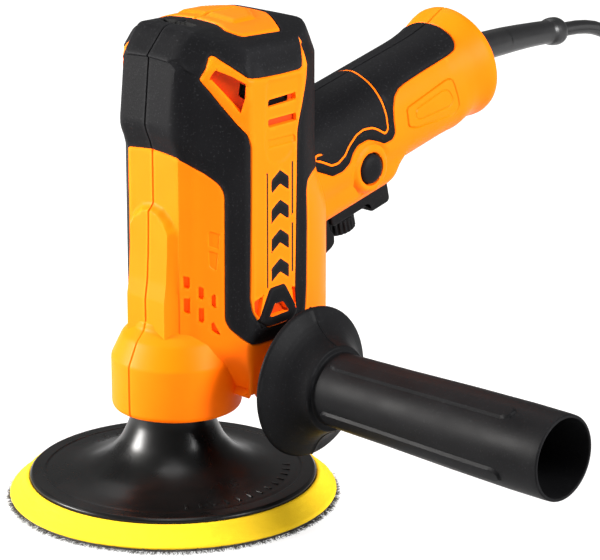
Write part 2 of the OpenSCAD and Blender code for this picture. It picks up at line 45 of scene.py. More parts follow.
CAMERA_RIGHT, CAMERA_UP = Vector((0.6875, -0.7262, 0.0)), Vector((0.2106, 0.1994, 0.9570))
CAMERA_BACK = CAMERA_RIGHT.cross(CAMERA_UP)
CAMERA_AT = CAMERA_BACK * 1082.2 + CAMERA_RIGHT * 46.69 + CAMERA_UP * 82.07
FOCAL, SENSOR = 169.18, 36


def put_camera():
    data = bpy.data.cameras.new("camera")
    data.lens = FOCAL
    data.sensor_width = SENSOR
    data.clip_start, data.clip_end = 0.05, 200
    cam = bpy.data.objects.new("camera", data)
    turn = Matrix((CAMERA_RIGHT, CAMERA_UP, CAMERA_BACK)).transposed().to_4x4()
    cam.matrix_world = Matrix.Translation(CAMERA_AT * MM) @ turn
    bpy.context.scene.collection.objects.link(cam)
    bpy.context.scene.camera = cam


def area_light(name, at, aim, size, power, colour=(1, 1, 1)):
    data = bpy.data.lights.new(name, "AREA")
    data.shape = "DISK"
    data.size, data.energy, data.color = size, power, colour
    lamp = bpy.data.objects.new(name, data)
    lamp.location = at
    lamp.rotation_euler = (Vector(aim) - Vector(at)).to_track_quat("-Z", "Y").to_euler()
    bpy.context.scene.collection.objects.link(lamp)


def put_studio():
    world = bpy.data.worlds.new("studio")
    world.use_nodes = True
    world.node_tree.nodes["Background"].inputs["Color"].default_value = (1, 1, 1, 1)
    world.node_tree.nodes["Background"].inputs["Strength"].default_value = 0.2
    bpy.context.scene.world = world
    bpy.context.scene.view_settings.view_transform = "Standard"
    area_light("key", (-1.25, 1.15, 0.65), (0.0, 0.0, 0.1), 0.6, 115, (1.0, 0.98, 0.95))
    area_light("front", (0.5, -1.6, 0.8), (0.1, 0.0, 0.1), 0.7, 64)
    area_light("top", (-0.3, -0.3, 1.6), (0.05, -0.1, 0.0), 0.8, 9)
    area_light("back", (0.8, 0.85, 1.4), (0.75, 0.8, 0.0), 1.2, 7)


# ---------------------------------------------------------------- materials


BROAD_GRAIN = 55  # scale of the uneven colour and roughness, per metre


def material(name, base, rough, grain=2200, bump=0.25, mottle=0.06, wear_and_highlight=0.25, metallic=0.0,
             stretch=(1, 1, 1), sparkle=0.0, specular=0.5):
    """A moulded, cast or turned finish: fine grain, uneven roughness, lighter edges that are partly
    wear and partly painted highlight, and light specks that are painted glints.
    """
    mat = bpy.data.materials.new(name)
    mat.use_nodes = True
    tree = mat.node_tree
    shader = tree.nodes["Principled BSDF"]
    shader.inputs["Metallic"].default_value = metallic
    shader.inputs["Specular IOR Level"].default_value = specular

    def node(kind, links, **values):
        made = tree.nodes.new("ShaderNode" + kind)
        for socket, value in values.items():
            made.inputs[socket.replace("_", " ")].default_value = value
        for socket, source in links.items():
            tree.links.new(source, made.inputs[socket])
        return made.outputs

    def ramp(source, low, high, first, last):
        made = tree.nodes.new("ShaderNodeValToRGB")
        ends = made.color_ramp.elements
        ends[0].position, ends[1].position = low, high
        ends[0].color, ends[1].color = [*first, 1], [*last, 1]
        tree.links.new(source, made.inputs["Fac"])
        return made.outputs["Color"]

    place = node("TexCoord", {})["Object"]
    scaled = node("Mapping", {"Vector": place}, Scale=stretch)["Vector"]
    fine = node("TexNoise", {"Vector": scaled}, Scale=grain, Detail=3.0)["Fac"]
    broad = node("TexNoise", {"Vector": scaled}, Scale=BROAD_GRAIN, Detail=4.0)["Fac"]
    lift = node("Bump", {"Height": fine}, Strength=bump, Distance=0.0001)["Normal"]

    colour = ramp(broad, 0.3, 0.7, [c * (1 - mottle) for c in base],
                  [min(1, c * (1 + mottle)) for c in base])
    pointed = node("NewGeometry", {})["Pointiness"]
    # lighter colour on sharp edges: partly wear, partly painted highlight along ridges
    edges = ramp(pointed, 0.507, 0.55, (0, 0, 0), (wear_and_highlight, wear_and_highlight, wear_and_highlight))
    lighter = [min(1, c * 1.5 + 0.006) for c in base]
    colour = node("MixRGB", {"Fac": edges, "Color1": colour}, Color2=[*lighter, 1])["Color"]
    if sparkle:
        # light grey specks in the grain: painted glints
        glints = ramp(fine, 0.60, 0.74, (0, 0, 0), (sparkle, sparkle, sparkle))
        glint_grey = (0.16, 0.16, 0.17, 1)
        colour = node("MixRGB", {"Fac": glints, "Color1": colour}, Color2=glint_grey)["Color"]
    dull = node("MapRange", {"Value": broad}, From_Min=0.3, From_Max=0.7,
                To_Min=max(0.05, rough - 0.07), To_Max=rough + 0.07)["Result"]
    for socket, source in (("Normal", lift), ("Base Color", colour), ("Roughness", dull)):
        tree.links.new(source, shader.inputs[socket])
    return mat


orange = material("orange_plastic", (1.0, 0.15, 0.001), 0.45, 1500, 0.10, 0.03, 0.3, specular=0.05)
# deeper, redder orange on the floors of recesses: painted shade where the recesses fall into shadow
recess_shade_orange = material("orange_recess_shade", (0.45, 0.035, 0.001), 0.5, 1500, 0.10, 0.05, 0.0, specular=0.1)
rubber = material("black_rubber", (0.0055, 0.0055, 0.0062), 0.55, 1300, 0.6, 0.15, 0.5, sparkle=0.08,
                  specular=0.04)
satin = material("black_plastic", (0.0055, 0.0055, 0.0060), 0.48, 1500, 0.30, 0.15, 0.4,
                 sparkle=0.05, specular=0.04)
gloss = material("plate_plastic", (0.003, 0.003, 0.003), 0.3, 1200, 0.08, 0.2, 0.2, specular=0.2)
# near-black on the floors of open slots and round the lock button: painted shade for the dark inside of
# the openings
hole_shade_black = material("painted_hole_shade", (0.003, 0.003, 0.003), 0.7, 1500, 0.2, 0.2, 0.0, specular=0.1)
foam = material("foam", (0.74, 0.48, 0.010), 0.85, 1700, 0.9, 0.07, 0.0, specular=0.2)
hooks = material("hook_fabric", (0.045, 0.043, 0.04), 0.7, 2500, 0.8, 0.3, 0.2)
vinyl = material("cord_rubber", (0.008, 0.008, 0.0085), 0.36, 900, 0.12, 0.2, 0.1, specular=0.35)
cast = material("cast_aluminium", (0.55, 0.56, 0.57), 0.45, 1600, 0.6, 0.1, 0.3, 0.9)
steel = material("steel", (0.56, 0.56, 0.57), 0.24, 400, 0.25, 0.06, 0.3, 1.0, stretch=(1, 1, 8))
brass = material("brass", (0.80, 0.56, 0.22), 0.28, 500, 0.2, 0.06, 0.3, 1.0)
copper = material("copper", (0.72, 0.30, 0.14), 0.35, 900, 1.0, 0.12, 0.2, 1.0, stretch=(1, 1, 6))
carbon = material("carbon", (0.03, 0.03, 0.035), 0.5, 1800, 0.4, 0.2, 0.2)
board = material("circuit_board", (0.02, 0.12, 0.04), 0.4, 700, 0.2, 0.25, 0.2)


# ---------------------------------------------------------------- mesh helpers


def smooth(x):
    x = np.clip(x, 0, 1)
    return x * x * (3 - 2 * x)


def fillet(points, radius, closed=True, steps=4):
    """The same outline with each corner rounded."""
    p = np.asarray(points, float)
    out = []
    for i in range(len(p)):
        if not closed and i in (0, len(p) - 1):
            out.append(p[i])
            continue
        before, after = p[i - 1] - p[i], p[(i + 1) % len(p)] - p[i]
        a = p[i] + before * min(0.45, radius / max(np.linalg.norm(before), 1e-9))
        b = p[i] + after * min(0.45, radius / max(np.linalg.norm(after), 1e-9))
        for k in range(steps + 1):
            t = k / steps
            out.append((1 - t) ** 2 * a + 2 * t * (1 - t) * p[i] + t * t * b)
    return np.array(out)


def make(name, verts, faces, mat, body, stands_for=(), sharp=32, slot=None):
    """A smooth-shaded piece that rides on a body and stands for CAD nodes."""
    mesh = bpy.data.meshes.new(name)
    mesh.from_pydata((np.asarray(verts) * MM).tolist(), [], [list(map(int, f)) for f in faces])
    mesh.polygons.foreach_set("use_smooth", [True] * len(mesh.polygons))
    mesh.set_sharp_from_angle(angle=math.radians(sharp))
    mesh.materials.append(mat)
    obj = bpy.data.objects.new(name, mesh)
    bpy.context.scene.collection.objects.link(obj)
    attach(obj, body)
    for node in stands_for:
        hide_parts(node)
    return obj


def joined(parts):
    """One list of vertices and one of faces from several."""
    verts, faces, start = [], [], 0
    for v, f in parts:
        verts.append(np.asarray(v, float))
        faces += [[int(i) + start for i in face] for face in f]
        start += len(v)
    return np.vstack(verts), faces


def bands(n, m, rows):
    """Quads from each of the rows to the next of m rings of n points, with the first after the last."""
    k = np.arange(n)
    return [[i * n + a, i * n + b, (i + 1) % m * n + b, (i + 1) % m * n + a]
            for i in rows for a, b in zip(k, (k + 1) % n)]


def fans(n, m):
    """Both ends of m rings of n points, closed round the two points that follow them."""
    k = np.arange(n)
    ends = list(zip(k, (k + 1) % n))
    return ([[m * n, b, a] for a, b in ends]
            + [[m * n + 1, (m - 1) * n + a, (m - 1) * n + b] for a, b in ends])


def loft(rings):
    """A closed tube through rings of equally many points, with a fan at each end."""
    rings = [np.asarray(r, float) for r in rings]
    n, m = len(rings[0]), len(rings)
    verts = np.vstack(rings + [rings[0].mean(0)[None], rings[-1].mean(0)[None]])
    return verts, bands(n, m, range(m - 1)) + fans(n, m)


def axis_frame(at, along, aside):
    """Matrix columns: aside, a third way, along. Maps local (x, y, z) into the row frame."""
    w = np.asarray(along, float) / np.linalg.norm(along)
    u = np.asarray(aside, float)
    u = u - w * (u @ w)
    u /= np.linalg.norm(u)
    return np.asarray(at, float), u, np.cross(w, u), w


def placed(points, where):
    at, u, v, w = where
    p = np.asarray(points, float)
    return at + p[:, :1] * u + p[:, 1:2] * v + p[:, 2:3] * w


def area_of(p):
    """Area of an outline, negative where it runs clockwise."""
    return 0.5 * np.sum(p[:, 0] * np.roll(p[:, 1], -1) - np.roll(p[:, 0], -1) * p[:, 1])


UPRIGHT = axis_frame((0, 0, 0), (0, 0, 1), (1, 0, 0))


def revolved(profile, segments=96, where=UPRIGHT, wobble=None):
    """A profile of (radius, height) turned round an axis. A closed loop makes a ring."""
    prof = np.asarray(profile, float)
    solid = prof[0, 0] < 1e-6 and prof[-1, 0] < 1e-6
    body = prof[1:-1] if solid else prof
    turn = np.arange(segments) * 2 * math.pi / segments
    ring = np.stack([np.cos(turn), np.sin(turn)], 1)
    verts = np.concatenate([np.column_stack([ring * r, np.full(segments, h)]) for r, h in body])
    if wobble:
        verts = wobble(verts)
    m = len(body)
    faces = bands(segments, m, range(m - 1) if solid else range(m))
    if solid:
        verts = np.vstack([verts, [[0, 0, prof[0, 1]], [0, 0, prof[-1, 1]]]])
        faces += fans(segments, m)
    if area_of(prof) < 0:
        faces = [f[::-1] for f in faces]
    return placed(verts, where), faces


def prism(outline, half, where, bevel=0.6, steps=3):
    """A slab over an outline in local (x, z), along local y, with rounded edges."""
    p = np.asarray(outline, float)
    if area_of(p) < 0:
        p = p[::-1]
    d = np.roll(p, -1, 0) - p
    n = np.column_stack([d[:, 1], -d[:, 0]]) / np.maximum(np.linalg.norm(d, axis=1), 1e-9)[:, None]
    m = n + np.roll(n, 1, 0)
    m /= np.maximum((m * np.roll(n, 1, 0)).sum(1), 0.35)[:, None]
    rings = []
    for side in (-1, 1):
        for k in range(steps + 1):
            a = (k if side < 0 else steps - k) / steps * math.pi / 2
            q = p - m * bevel * (1 - math.sin(a))
            y = side * (half - bevel * (1 - math.cos(a)))
            rings.append(np.column_stack([q[:, 0], np.full(len(q), y), q[:, 1]]))
    verts, faces = loft(rings)
    return placed(verts, where), [f[::-1] for f in faces]


def to_segment(at, start, end):
    """Distance of points to a segment, and a number that is positive on its left."""
    (x0, y0), (x1, y1) = start, end
    ex, ey = x1 - x0, y1 - y0
    dx, dy = at[:, 0] - x0, at[:, 1] - y0
    t = np.clip((dx * ex + dy * ey) / (ex * ex + ey * ey + 1e-12), 0, 1)
    return np.hypot(dx - t * ex, dy - t * ey), ex * dy - ey * dx


def polygon_field(points, radius=0.0):
    """Distance to an outline, negative inside, for points (n, 2)."""
    p = fillet(points, radius) if radius else np.asarray(points, float)

    def field(at):
        x, y = at[:, 0], at[:, 1]
        best = np.full(len(at), 1e9)
        inside = np.zeros(len(at), bool)
        for (x0, y0), (x1, y1) in zip(p, np.roll(p, -1, 0)):
            best = np.minimum(best, to_segment(at, (x0, y0), (x1, y1))[0])
            if y0 != y1:
                inside ^= ((y0 > y) != (y1 > y)) & (x < (x1 - x0) * (y - y0) / (y1 - y0) + x0)
        return np.where(inside, -best, best)

    return field


def line_field(points, half, radius):
    """Distance to a band of half-width half along a rounded line, negative on the band."""
    p = fillet(points, radius, closed=False)
    return lambda at: np.minimum.reduce([to_segment(at, a, b)[0] for a, b in zip(p[:-1], p[1:])]) - half


def side_field(points, radius=0.0):
    """Distance to a line, negative on its left, so that the line itself can be cut along."""
    p = fillet(points, radius, closed=False) if radius else np.asarray(points, float)

    def field(at):
        best, sign = np.full(len(at), 1e9), np.ones(len(at))
        for a, b in zip(p[:-1], p[1:]):
            far, left = to_segment(at, a, b)
            nearer = far < best - 1e-9
            best = np.where(nearer, far, best)
            sign = np.where(nearer, np.where(left > 0, -1.0, 1.0), sign)
        return best * sign

    return field


def union(fields):
    return lambda at: np.minimum.reduce([f(at) for f in fields])


class Sheet:
    """A patch of triangles in its own (u, v) plane, cut along lines before it is shaped."""

    def __init__(self, us, vs):
        u, v = np.meshgrid(us, vs, indexing="ij")
        self.uv = np.column_stack([u.ravel(), v.ravel()]).astype(float)
        n, m = len(us), len(vs)
        i, j = (k.ravel() for k in np.meshgrid(np.arange(n - 1), np.arange(m - 1), indexing="ij"))
        a, b, c, d = i * m + j, (i + 1) * m + j, (i + 1) * m + j + 1, i * m + j + 1
        even = ((i + j) % 2 == 0)[:, None]
        self.tris = np.vstack([
            np.where(even, np.column_stack([a, b, c]), np.column_stack([a, b, d])),
            np.where(even, np.column_stack([a, c, d]), np.column_stack([b, c, d])),
        ])
        edge = np.zeros((n, m), bool)
        edge[[0, -1]] = True
        edge[:, [0, -1]] = True
        self.locked = edge.ravel()

    def cut(self, field, level=0.0, snap=0.14):
        f = field(self.uv) - level
        near = np.abs(f) < snap
        free = near & ~self.locked
        if free.any():
            at, step = self.uv[free], 0.02
            du = (field(at + [step, 0]) - field(at - [step, 0])) / (2 * step)
            dv = (field(at + [0, step]) - field(at - [0, step])) / (2 * step)
            move = f[free] / np.maximum(du * du + dv * dv, 0.25)
            self.uv[free] = at - np.column_stack([du * move, dv * move])
        f[near] = 0
        self.locked |= near
        signs = np.sign(f)[self.tris]
        mixed = (signs.max(1) > 0) & (signs.min(1) < 0)
        start, extra, made, out = len(self.uv), [], {}, []

        def between(a, b):
            key = (a, b) if a < b else (b, a)
            if key not in made:
                t = f[a] / (f[a] - f[b])
                made[key] = start + len(extra)
                extra.append(self.uv[a] + t * (self.uv[b] - self.uv[a]))
            return made[key]

        for a, b, c in self.tris[mixed].tolist():
            while not (f[a] == 0 or f[b] * f[c] > 0):
                a, b, c = b, c, a
            if f[a] == 0:
                mid = between(b, c)
                out += [(a, b, mid), (a, mid, c)]
            else:
                p, q = between(a, b), between(a, c)
                out += [(a, p, q), (p, b, c), (p, c, q)]
        if out:
            self.uv = np.vstack([self.uv, extra])
            self.locked = np.append(self.locked, np.ones(len(extra), bool))
            self.tris = np.vstack([self.tris[~mixed], np.array(out)])

    def cut_each(self, fields, levels, snap=0.14):
        for field in fields:
            for level in levels:
                self.cut(field, level, snap)

    def middles(self):
        return self.uv[self.tris].mean(1)


def surface(base, relief, uv):
    """Points of a relief on a base surface, and the base's outward normals."""
    h = 0.05
    pu = base(uv + [h, 0]) - base(uv - [h, 0])
    pv = base(uv + [0, h]) - base(uv - [0, h])
    n = np.cross(pu, pv)
    size = np.linalg.norm(n, axis=1)[:, None]
    n = np.where(size > 1e-9, n / np.maximum(size, 1e-9), [0, 0, 1])
    return base(uv) + n * relief(uv)[:, None], n


def welded(points, tris):
    """Which points to keep where several coincide, and the triangles that then remain."""
    _, first, same = np.unique(np.round(points, 4), axis=0, return_index=True, return_inverse=True)
    tris = same.ravel()[tris]
    a, b, c = tris.T
    return first, tris[(a != b) & (b != c) & (a != c)]


def shell(points, normals, tris, thick, mirrored=False):
    """A closed skin: the triangles, a copy set in by thick, and walls along their border."""
    used, local = np.unique(tris, return_inverse=True)
    first, tris = welded(points[used], local.reshape(-1, 3))
    p, n = points[used][first], normals[used][first]
    count = len(p)
    edge = np.vstack([tris[:, [0, 1]], tris[:, [1, 2]], tris[:, [2, 0]]])
    border = ~np.isin(edge[:, 0] * count + edge[:, 1], edge[:, 1] * count + edge[:, 0])
    a, b = edge[border].T
    verts = np.vstack([p, p - n * thick])
    faces = tris.tolist() + (tris[:, ::-1] + count).tolist()
    faces += np.column_stack([b, a, a + count, b + count]).tolist()
    if mirrored:
        verts = verts * [1, -1, 1]
        faces = [f[::-1] for f in faces]
    return verts, faces


def steps(low, high, size, *marks):
    """Evenly spaced values that include each mark."""
    stops = sorted({low, high, *marks})
    out = [low]
    for a, b in zip(stops[:-1], stops[1:]):
        out += list(np.linspace(a, b, max(1, round((b - a) / size)) + 1)[1:])
    return np.array(out)


put_camera()
put_studio()
ground = bpy.data.meshes.new("floor")
ground.from_pydata([(-60, -60, 0), (60, -60, 0), (60, 60, 0), (-60, 60, 0)], [], [(0, 1, 2, 3)])
floor = bpy.data.objects.new("floor", ground)
pale = material("floor", (0.25, 0.25, 0.25), 0.8, 300, 0.02, 0.01, 0.0, specular=0.1)
pale.node_tree.nodes["Principled BSDF"].inputs["Emission Color"].default_value = (1, 1, 1, 1)
pale.node_tree.nodes["Principled BSDF"].inputs["Emission Strength"].default_value = 0.8
ground.materials.append(pale)
bpy.context.scene.collection.objects.link(floor)


# ---------------------------------------------------------------- cord

CORD_D = 6
COIL_AT = np.array([262, -60])
TIE_X, TIE_Z = 229, 10
PLUG_AT = np.array([298, -100, 13.5])
LEAD = [
    [228, 0, 146.4], [240, 0, 146], [252, 0, 144], [264, 0, 139], [274, 0, 131],
    [282, -1, 120], [288, -2, 106], [292, -4, 90], [295, -6, 73], [297, -9, 57],
    [298.5, -14, 43], [299, -23, 32], [298, -34, 25.5], [295.5, -45, 23],
    [294.5, -54, 21.5], [292.4, -62.7, 19], [290.2, -70.3, 16.5],
]
TAIL = [
    [301, -60, 4], [300.8, -68, 4.6], [300.4, -76, 6.5], [299.6, -84, 9.5],
    [298.6, -92, 12.3], [298, -100, 13.5],
]


def coil_route():
    """Turns laid beside and on each other, from the top row down to the outer bottom turn."""
    turns = [(30, 16), (36, 16), (39, 10), (33, 10), (27, 10), (27, 4), (33, 4), (39, 4)]
    points = []
    for i, (r, z) in enumerate(turns):
        r2, z2 = turns[i + 1] if i + 1 < len(turns) else (r, z)
        for deg in range(0, 360, 10):
            if i == 0 and deg <= 20:
                continue
            drop = smooth((deg - 310) / 50) if z2 != z else 0.0
            shift = drop if z2 != z else smooth((deg - 255) / 55)
            a = math.radians(-deg)
            rad = r + (r2 - r) * shift
            points.append([COIL_AT[0] + rad * math.cos(a), COIL_AT[1] + rad * math.sin(a),
                           z + (z2 - z) * drop])
    return points


def spline(points, each):
    """Catmull-Rom points through a route, each to a span."""
    p = np.asarray(points, float)
    p = np.vstack([2 * p[0] - p[1], p, 2 * p[-1] - p[-2]])
    t = np.arange(each)[:, None] / each
    out = []
    for a, b, c, d in zip(p[:-3], p[1:-2], p[2:-1], p[3:]):
        out.append(0.5 * (2 * b + (c - a) * t + (2 * a - 5 * b + 4 * c - d) * t ** 2
                          + (3 * b - a - 3 * c + d) * t ** 3))
    return np.vstack(out + [p[-2][None]])


def swept(route, section, up=(0, 0, 1)):
    """A section of (side, up) points carried along a route without twisting."""
    route = np.asarray(route, float)
    along = np.gradient(route, axis=0)
    along /= np.linalg.norm(along, axis=1)[:, None]
    side = np.cross(along[0], up)
    rings = []
    for p, w in zip(route, along):
        side = side - w * (side @ w)
        side /= np.linalg.norm(side)
        top = np.cross(side, w)
        rings.append(p + section[:, :1] * side + section[:, 1:2] * top)
    return loft(rings)


def twin_section(radius, groove, n=20):
    """A round section with a shallow groove down each side, as on twin cord."""
    a = np.arange(n) * 2 * math.pi / n
    r = radius - groove * np.exp(-((np.abs(np.cos(a)) - 1) / 0.035) ** 2)
    return np.column_stack([r * np.cos(a), r * np.sin(a)])


route = spline(LEAD + coil_route() + TAIL, 2)
cord = make("cord", *swept(route, twin_section(CORD_D / 2, 0.75, 24)), vinyl, "housing",
            ["cord_lead", "cord_coil", "cord_tail"], sharp=60)


def rounded_ring(wide, high, power, n=48):
    a = np.arange(n) * 2 * math.pi / n
    c, s = np.cos(a), np.sin(a)
    r = (np.abs(c) ** power + np.abs(s) ** power) ** (-1 / power)
    return np.column_stack([wide * r * c, high * r * s])


def plug_mesh():
    """Round-shouldered plug body with a ribbed, tapered neck."""
    ends = [(0, 4.0, 4.0, 2), (0.6, 4.3, 4.3, 2)]
    for k in range(6):
        s = 2 + k * 2.7
        r = 4.6 + s * 0.1
        ends += [(s, r, r, 2), (s + 0.2, r - 0.7, r - 0.7, 2), (s + 1.1, r - 0.7, r - 0.7, 2),
                 (s + 1.3, r + 0.1, r + 0.1, 2)]
    ends += [(19, 7.5, 7.0, 2.2), (20.5, 12, 10, 2.6), (23, 15.4, 12.2, 3.2), (26, 16.8, 13, 3.6),
             (30, 17.3, 13.4, 4), (38, 17.3, 13.4, 4), (44.6, 17.3, 13.4, 4), (45.6, 16.9, 13, 4),
             (46, 16, 12.2, 4)]
    rings = []
    for s, wide, high, power in ends:
        q = rounded_ring(wide, high, power)
        rings.append(PLUG_AT + np.column_stack([q[:, 0], np.full(len(q), -s), q[:, 1]]))
    return loft(rings)


plug = make("plug", *plug_mesh(), vinyl, "housing", ["plug_body"], sharp=40)


def tie_mesh():
    """A strap round the turns of the coil."""
    n = 60
    outer, inner = rounded_ring(10.2, 9.9, 5, n), rounded_ring(9.3, 9.0, 5, n)
    across = [(-2.0, 0.25), (-1.75, 0.0), (1.75, 0.0), (2.0, 0.25)]
    rows = []
    for y, inset in across:
        rows.append((outer * (1 - inset / 10), y))
    for y, inset in reversed(across):
        rows.append((inner, y))
    verts = [[TIE_X, COIL_AT[1], TIE_Z] + np.column_stack([q[:, 0], np.full(n, y), q[:, 1]])
             for q, y in rows]
    return np.vstack(verts), [f[::-1] for f in bands(n, len(rows), range(len(rows)))]


tie = make("cord_strap", *tie_mesh(), rubber, "housing", ["cord_tie"])


# ---------------------------------------------------------------- motor housing

NOSE_X, NOSE_HALF = -11.6, 13.4
CHEEK_X, CHEEK_END, SIDE_END = 2.4, 40.85, 67.95
ROUND_X, HALF = 29.5, 37.0
GIRTH = SIDE_END + math.pi / 2 * HALF
EDGE_ROW, TOP_ROW = 160.0, 170.0  # v above which the wall row is scaled, and the top begins
TOP_SPAN, LOW, LOW_SPAN = 33.0, 38.0, 12.0
GROOVE = 0.4  # half the width of the groove where two pieces meet
GROOVE_CUTS = (0.0, GROOVE, -GROOVE)
RECESS_WALL = 0.35  # width of the sloping wall of a recess

COVER = [
    (-5, 138.6), (5.8, 137.8), (13.2, 137), (18.5, 134.6), (23.3, 132.4), (27.4, 129.8),
    (29.7, 127.9), (31.1, 125.3), (31.3, 122.7), (31.1, 77), (31.9, 75), (33.5, 73), (37.8, 69.8),
    (41.5, 67.7), (45.7, 67.1), (62, 67.3), (67.8, 69.5), (70.4, 74), (71.2, 84), (71.7, 121),
    (73, 124.5), (78, 126), (140, 126), (140, 260), (-5, 260),
]
PANEL = [
    (22.2, 167.3), (24.5, 171.1), (26.7, 174.3), (28.9, 174.6), (33.7, 172.4), (38.2, 169.9),
    (40.4, 168.3), (45.8, 167.7), (56.7, 167.4), (66.5, 167.6), (69.0, 168.6), (70.6, 170.5),
    (71.4, 172.6), (71.9, 169), (70.9, 163), (68.9, 157), (66.9, 150.5), (65.5, 145), (65.2, 128),
    (64.3, 85), (64.8, 76.5), (62.5, 73.4), (58, 72.5), (50, 72.5), (45, 75.5), (41.6, 80.5),
    (40.7, 85), (41.3, 123), (41.4, 143), (40, 147.6), (35.8, 151.6), (30.7, 157.4), (26.2, 162.9),
]
INSERT = [
    (11.5, 12), (8.8, 18), (10.4, 25), (29.5, 26.5), (36, 16), (39.5, 10), (39.5, -10), (36, -16),
    (29.5, -26.5), (10.4, -25), (8.8, -18), (11.5, -12),
]
INSERT_RAISED = [(16.5, 15), (28.5, 14.5), (36, 4.5), (36, -4.5), (28.5, -14.5), (16.5, -15)]


def box_outline(s0, s1, z0, z1, lean=0.0):
    return [(s0, z0), (s1, z0 + lean), (s1, z1 + lean), (s0, z1)]


cover_f = polygon_field(COVER, 1.2)
panel_f = polygon_field(PANEL, 1.0)
window_f = polygon_field(
    [(25.9, 167.8), (28.2, 171.1), (34.5, 169), (40, 166.3), (39.6, 161.2), (37.7, 155.2)], 0.8)
# near-black patches at the bottom of the open window and slot: painted shade
window_shade_f = polygon_field([(36.6, 161.5), (38.8, 160.2), (39.3, 165.4), (37.2, 166.2)], 0.3)
slot_one_f = polygon_field(box_outline(49.9, 64.6, 156.2, 159.0, 0.6), 0.7)
slot_shade_f = polygon_field(box_outline(50.2, 62.0, 156.4, 158.4, 0.5), 0.4)
slot_two_f = polygon_field(box_outline(50, 64.5, 148.5, 151.6, 0.3), 0.8)
slot_three_f = polygon_field(box_outline(50, 64, 141, 144), 0.7)
frame_f = polygon_field(
    [(48.6, 166.4), (47.6, 150), (47.9, 140), (49.5, 136), (53, 134), (58, 134.4), (62, 137),
     (64.6, 143), (64.9, 150), (66.3, 157), (67.4, 166.4)], 2.0)
pockets_f = union([
    polygon_field([(42.0, 84.6), (46.8, 85.9), (44.8, 77.4), (42.4, 80.4)], 0.4),
    polygon_field([(61.9, 86), (63.9, 85.6), (64.2, 79.2), (63.0, 77.6)], 0.3)])
bracket_f = polygon_field(
    [(49.6, 87.2), (50.6, 88), (57.4, 88.2), (58.4, 87.4), (64.6, 77), (64.4, 73.6), (46, 73.0),
     (44.2, 76.6)], 0.5)
bracket_hole_f = polygon_field([(51.8, 81.6), (56.2, 81.9), (59.6, 77.4), (49.0, 76.9)], 0.5)
vents_f = union([
    polygon_field(box_outline(s, s + wide, low, high), 0.6)
    for s, wide, low, high in [(15.3, 2.6, 87.6, 92.4), (15.3, 2.6, 78, 84), (21, 2.2, 84, 88.9),
                               (21, 2.2, 75, 80.8), (25.9, 1.8, 81.3, 86.2)]]
    + [polygon_field([(25.7, 77.8), (25.8, 72.0), (29.8, 70.2)], 0.4)])
label_f = union([
    polygon_field([(24.8, 110.8), (29.6, 109.6), (29.0, 103.6), (24.9, 104.6)], 0.4),
    polygon_field([(24.9, 103.2), (28.9, 102.2), (28.2, 95), (25.1, 96.9)], 0.4)])
marks_f = union(
    [polygon_field([(51, z), (55.6, z + 3.2), (60.2, z), (60.2, z + 5.2), (55.6, z + 8.4),
                    (51, z + 5.2)], 0.3) for z in (90, 101.2, 112.4, 123.6)]
    + [polygon_field(box_outline(48.5, 49.3, 88, 132), 0.2),
       polygon_field(box_outline(61.7, 62.4, 92, 111), 0.2),
       polygon_field(box_outline(61.7, 62.4, 114, 134), 0.2)])
insert_f = polygon_field(INSERT, 1.5)
raised_f = polygon_field(INSERT_RAISED, 1.2)
top_slots_f = union([polygon_field([(x, -8.6), (x + 4, -8.6), (x + 4, 8.6), (x, 8.6)], 0.8)
                     for x in (0.4, 45.0)])
step_f = side_field([(60, 167), (24, 167), (22.2, 168.2), (14.6, 172.7), (0, 173.5), (-5, 173.5)])


def plan(s):
    """Sharp-cornered plan at girth s: half the nose, the cheek, the flat side, the round back."""
    turn = np.clip((s - SIDE_END) / HALF, 0, 3)
    x = np.interp(s, [NOSE_HALF, CHEEK_END, SIDE_END], [NOSE_X, CHEEK_X, ROUND_X])
    y = np.interp(s, [-NOSE_HALF, NOSE_HALF, CHEEK_END], [-NOSE_HALF, NOSE_HALF, HALF])
    return np.column_stack([x + HALF * np.sin(turn), y * np.cos(turn)])


def contour(s):
    """Rounded plan of the housing, and its outward normal."""
    taps = (-1.5, -0.9, -0.3, 0.3, 0.9, 1.5)
    p = sum(plan(s + k) for k in taps) / len(taps)
    d = sum(plan(s + k + 0.5) - plan(s + k - 0.5) for k in taps)
    d /= np.linalg.norm(d, axis=1)[:, None]
    return p, np.column_stack([-d[:, 1], d[:, 0]])


dome_f = polygon_field([(-12.9, 0), (-12.9, 108.9), (-10.1, 113.5), (-5.4, 117.2), (0, 118.4),
                        (5.4, 117.2), (10.1, 113.5), (12.9, 108.9), (12.9, 0)], 1.0)


def swell(s, z, n):
    """How far the wall stands out of the plan: nose hood and dome, less taper and tuck."""
    edge = z - np.interp(s, [0, 5.8, 13.2, 18.5, 23.3, 27.4, 29.7, 31.1],
                         [138.5, 137.8, 137, 134.6, 132.4, 129.8, 127.9, 125.3])
    hood = 3.1 * smooth(edge / 10.5) * (1 - smooth((s - 12) / 24))
    hood *= 1 - 0.8 * np.clip((z - 149) / 24.6, 0, 1)
    dome = np.interp(z, [38, 70, 82, 89, 100, 115], [4.4, 4.8, 4.8, 3.6, 2.9, 2.5])
    dome = dome * smooth(-dome_f(np.column_stack([s, z])) / 3.0)
    back = np.clip(n[:, 0], 0, 1)
    lean = back * (1.0 + 8.6 * smooth((z - 106) / 28))
    low = np.interp(s, [0, 33, 43], [13, 13, 3.0]) + 17 * back
    return hood + dome - lean - low * smooth((64 + 6 * back - z) / 26)


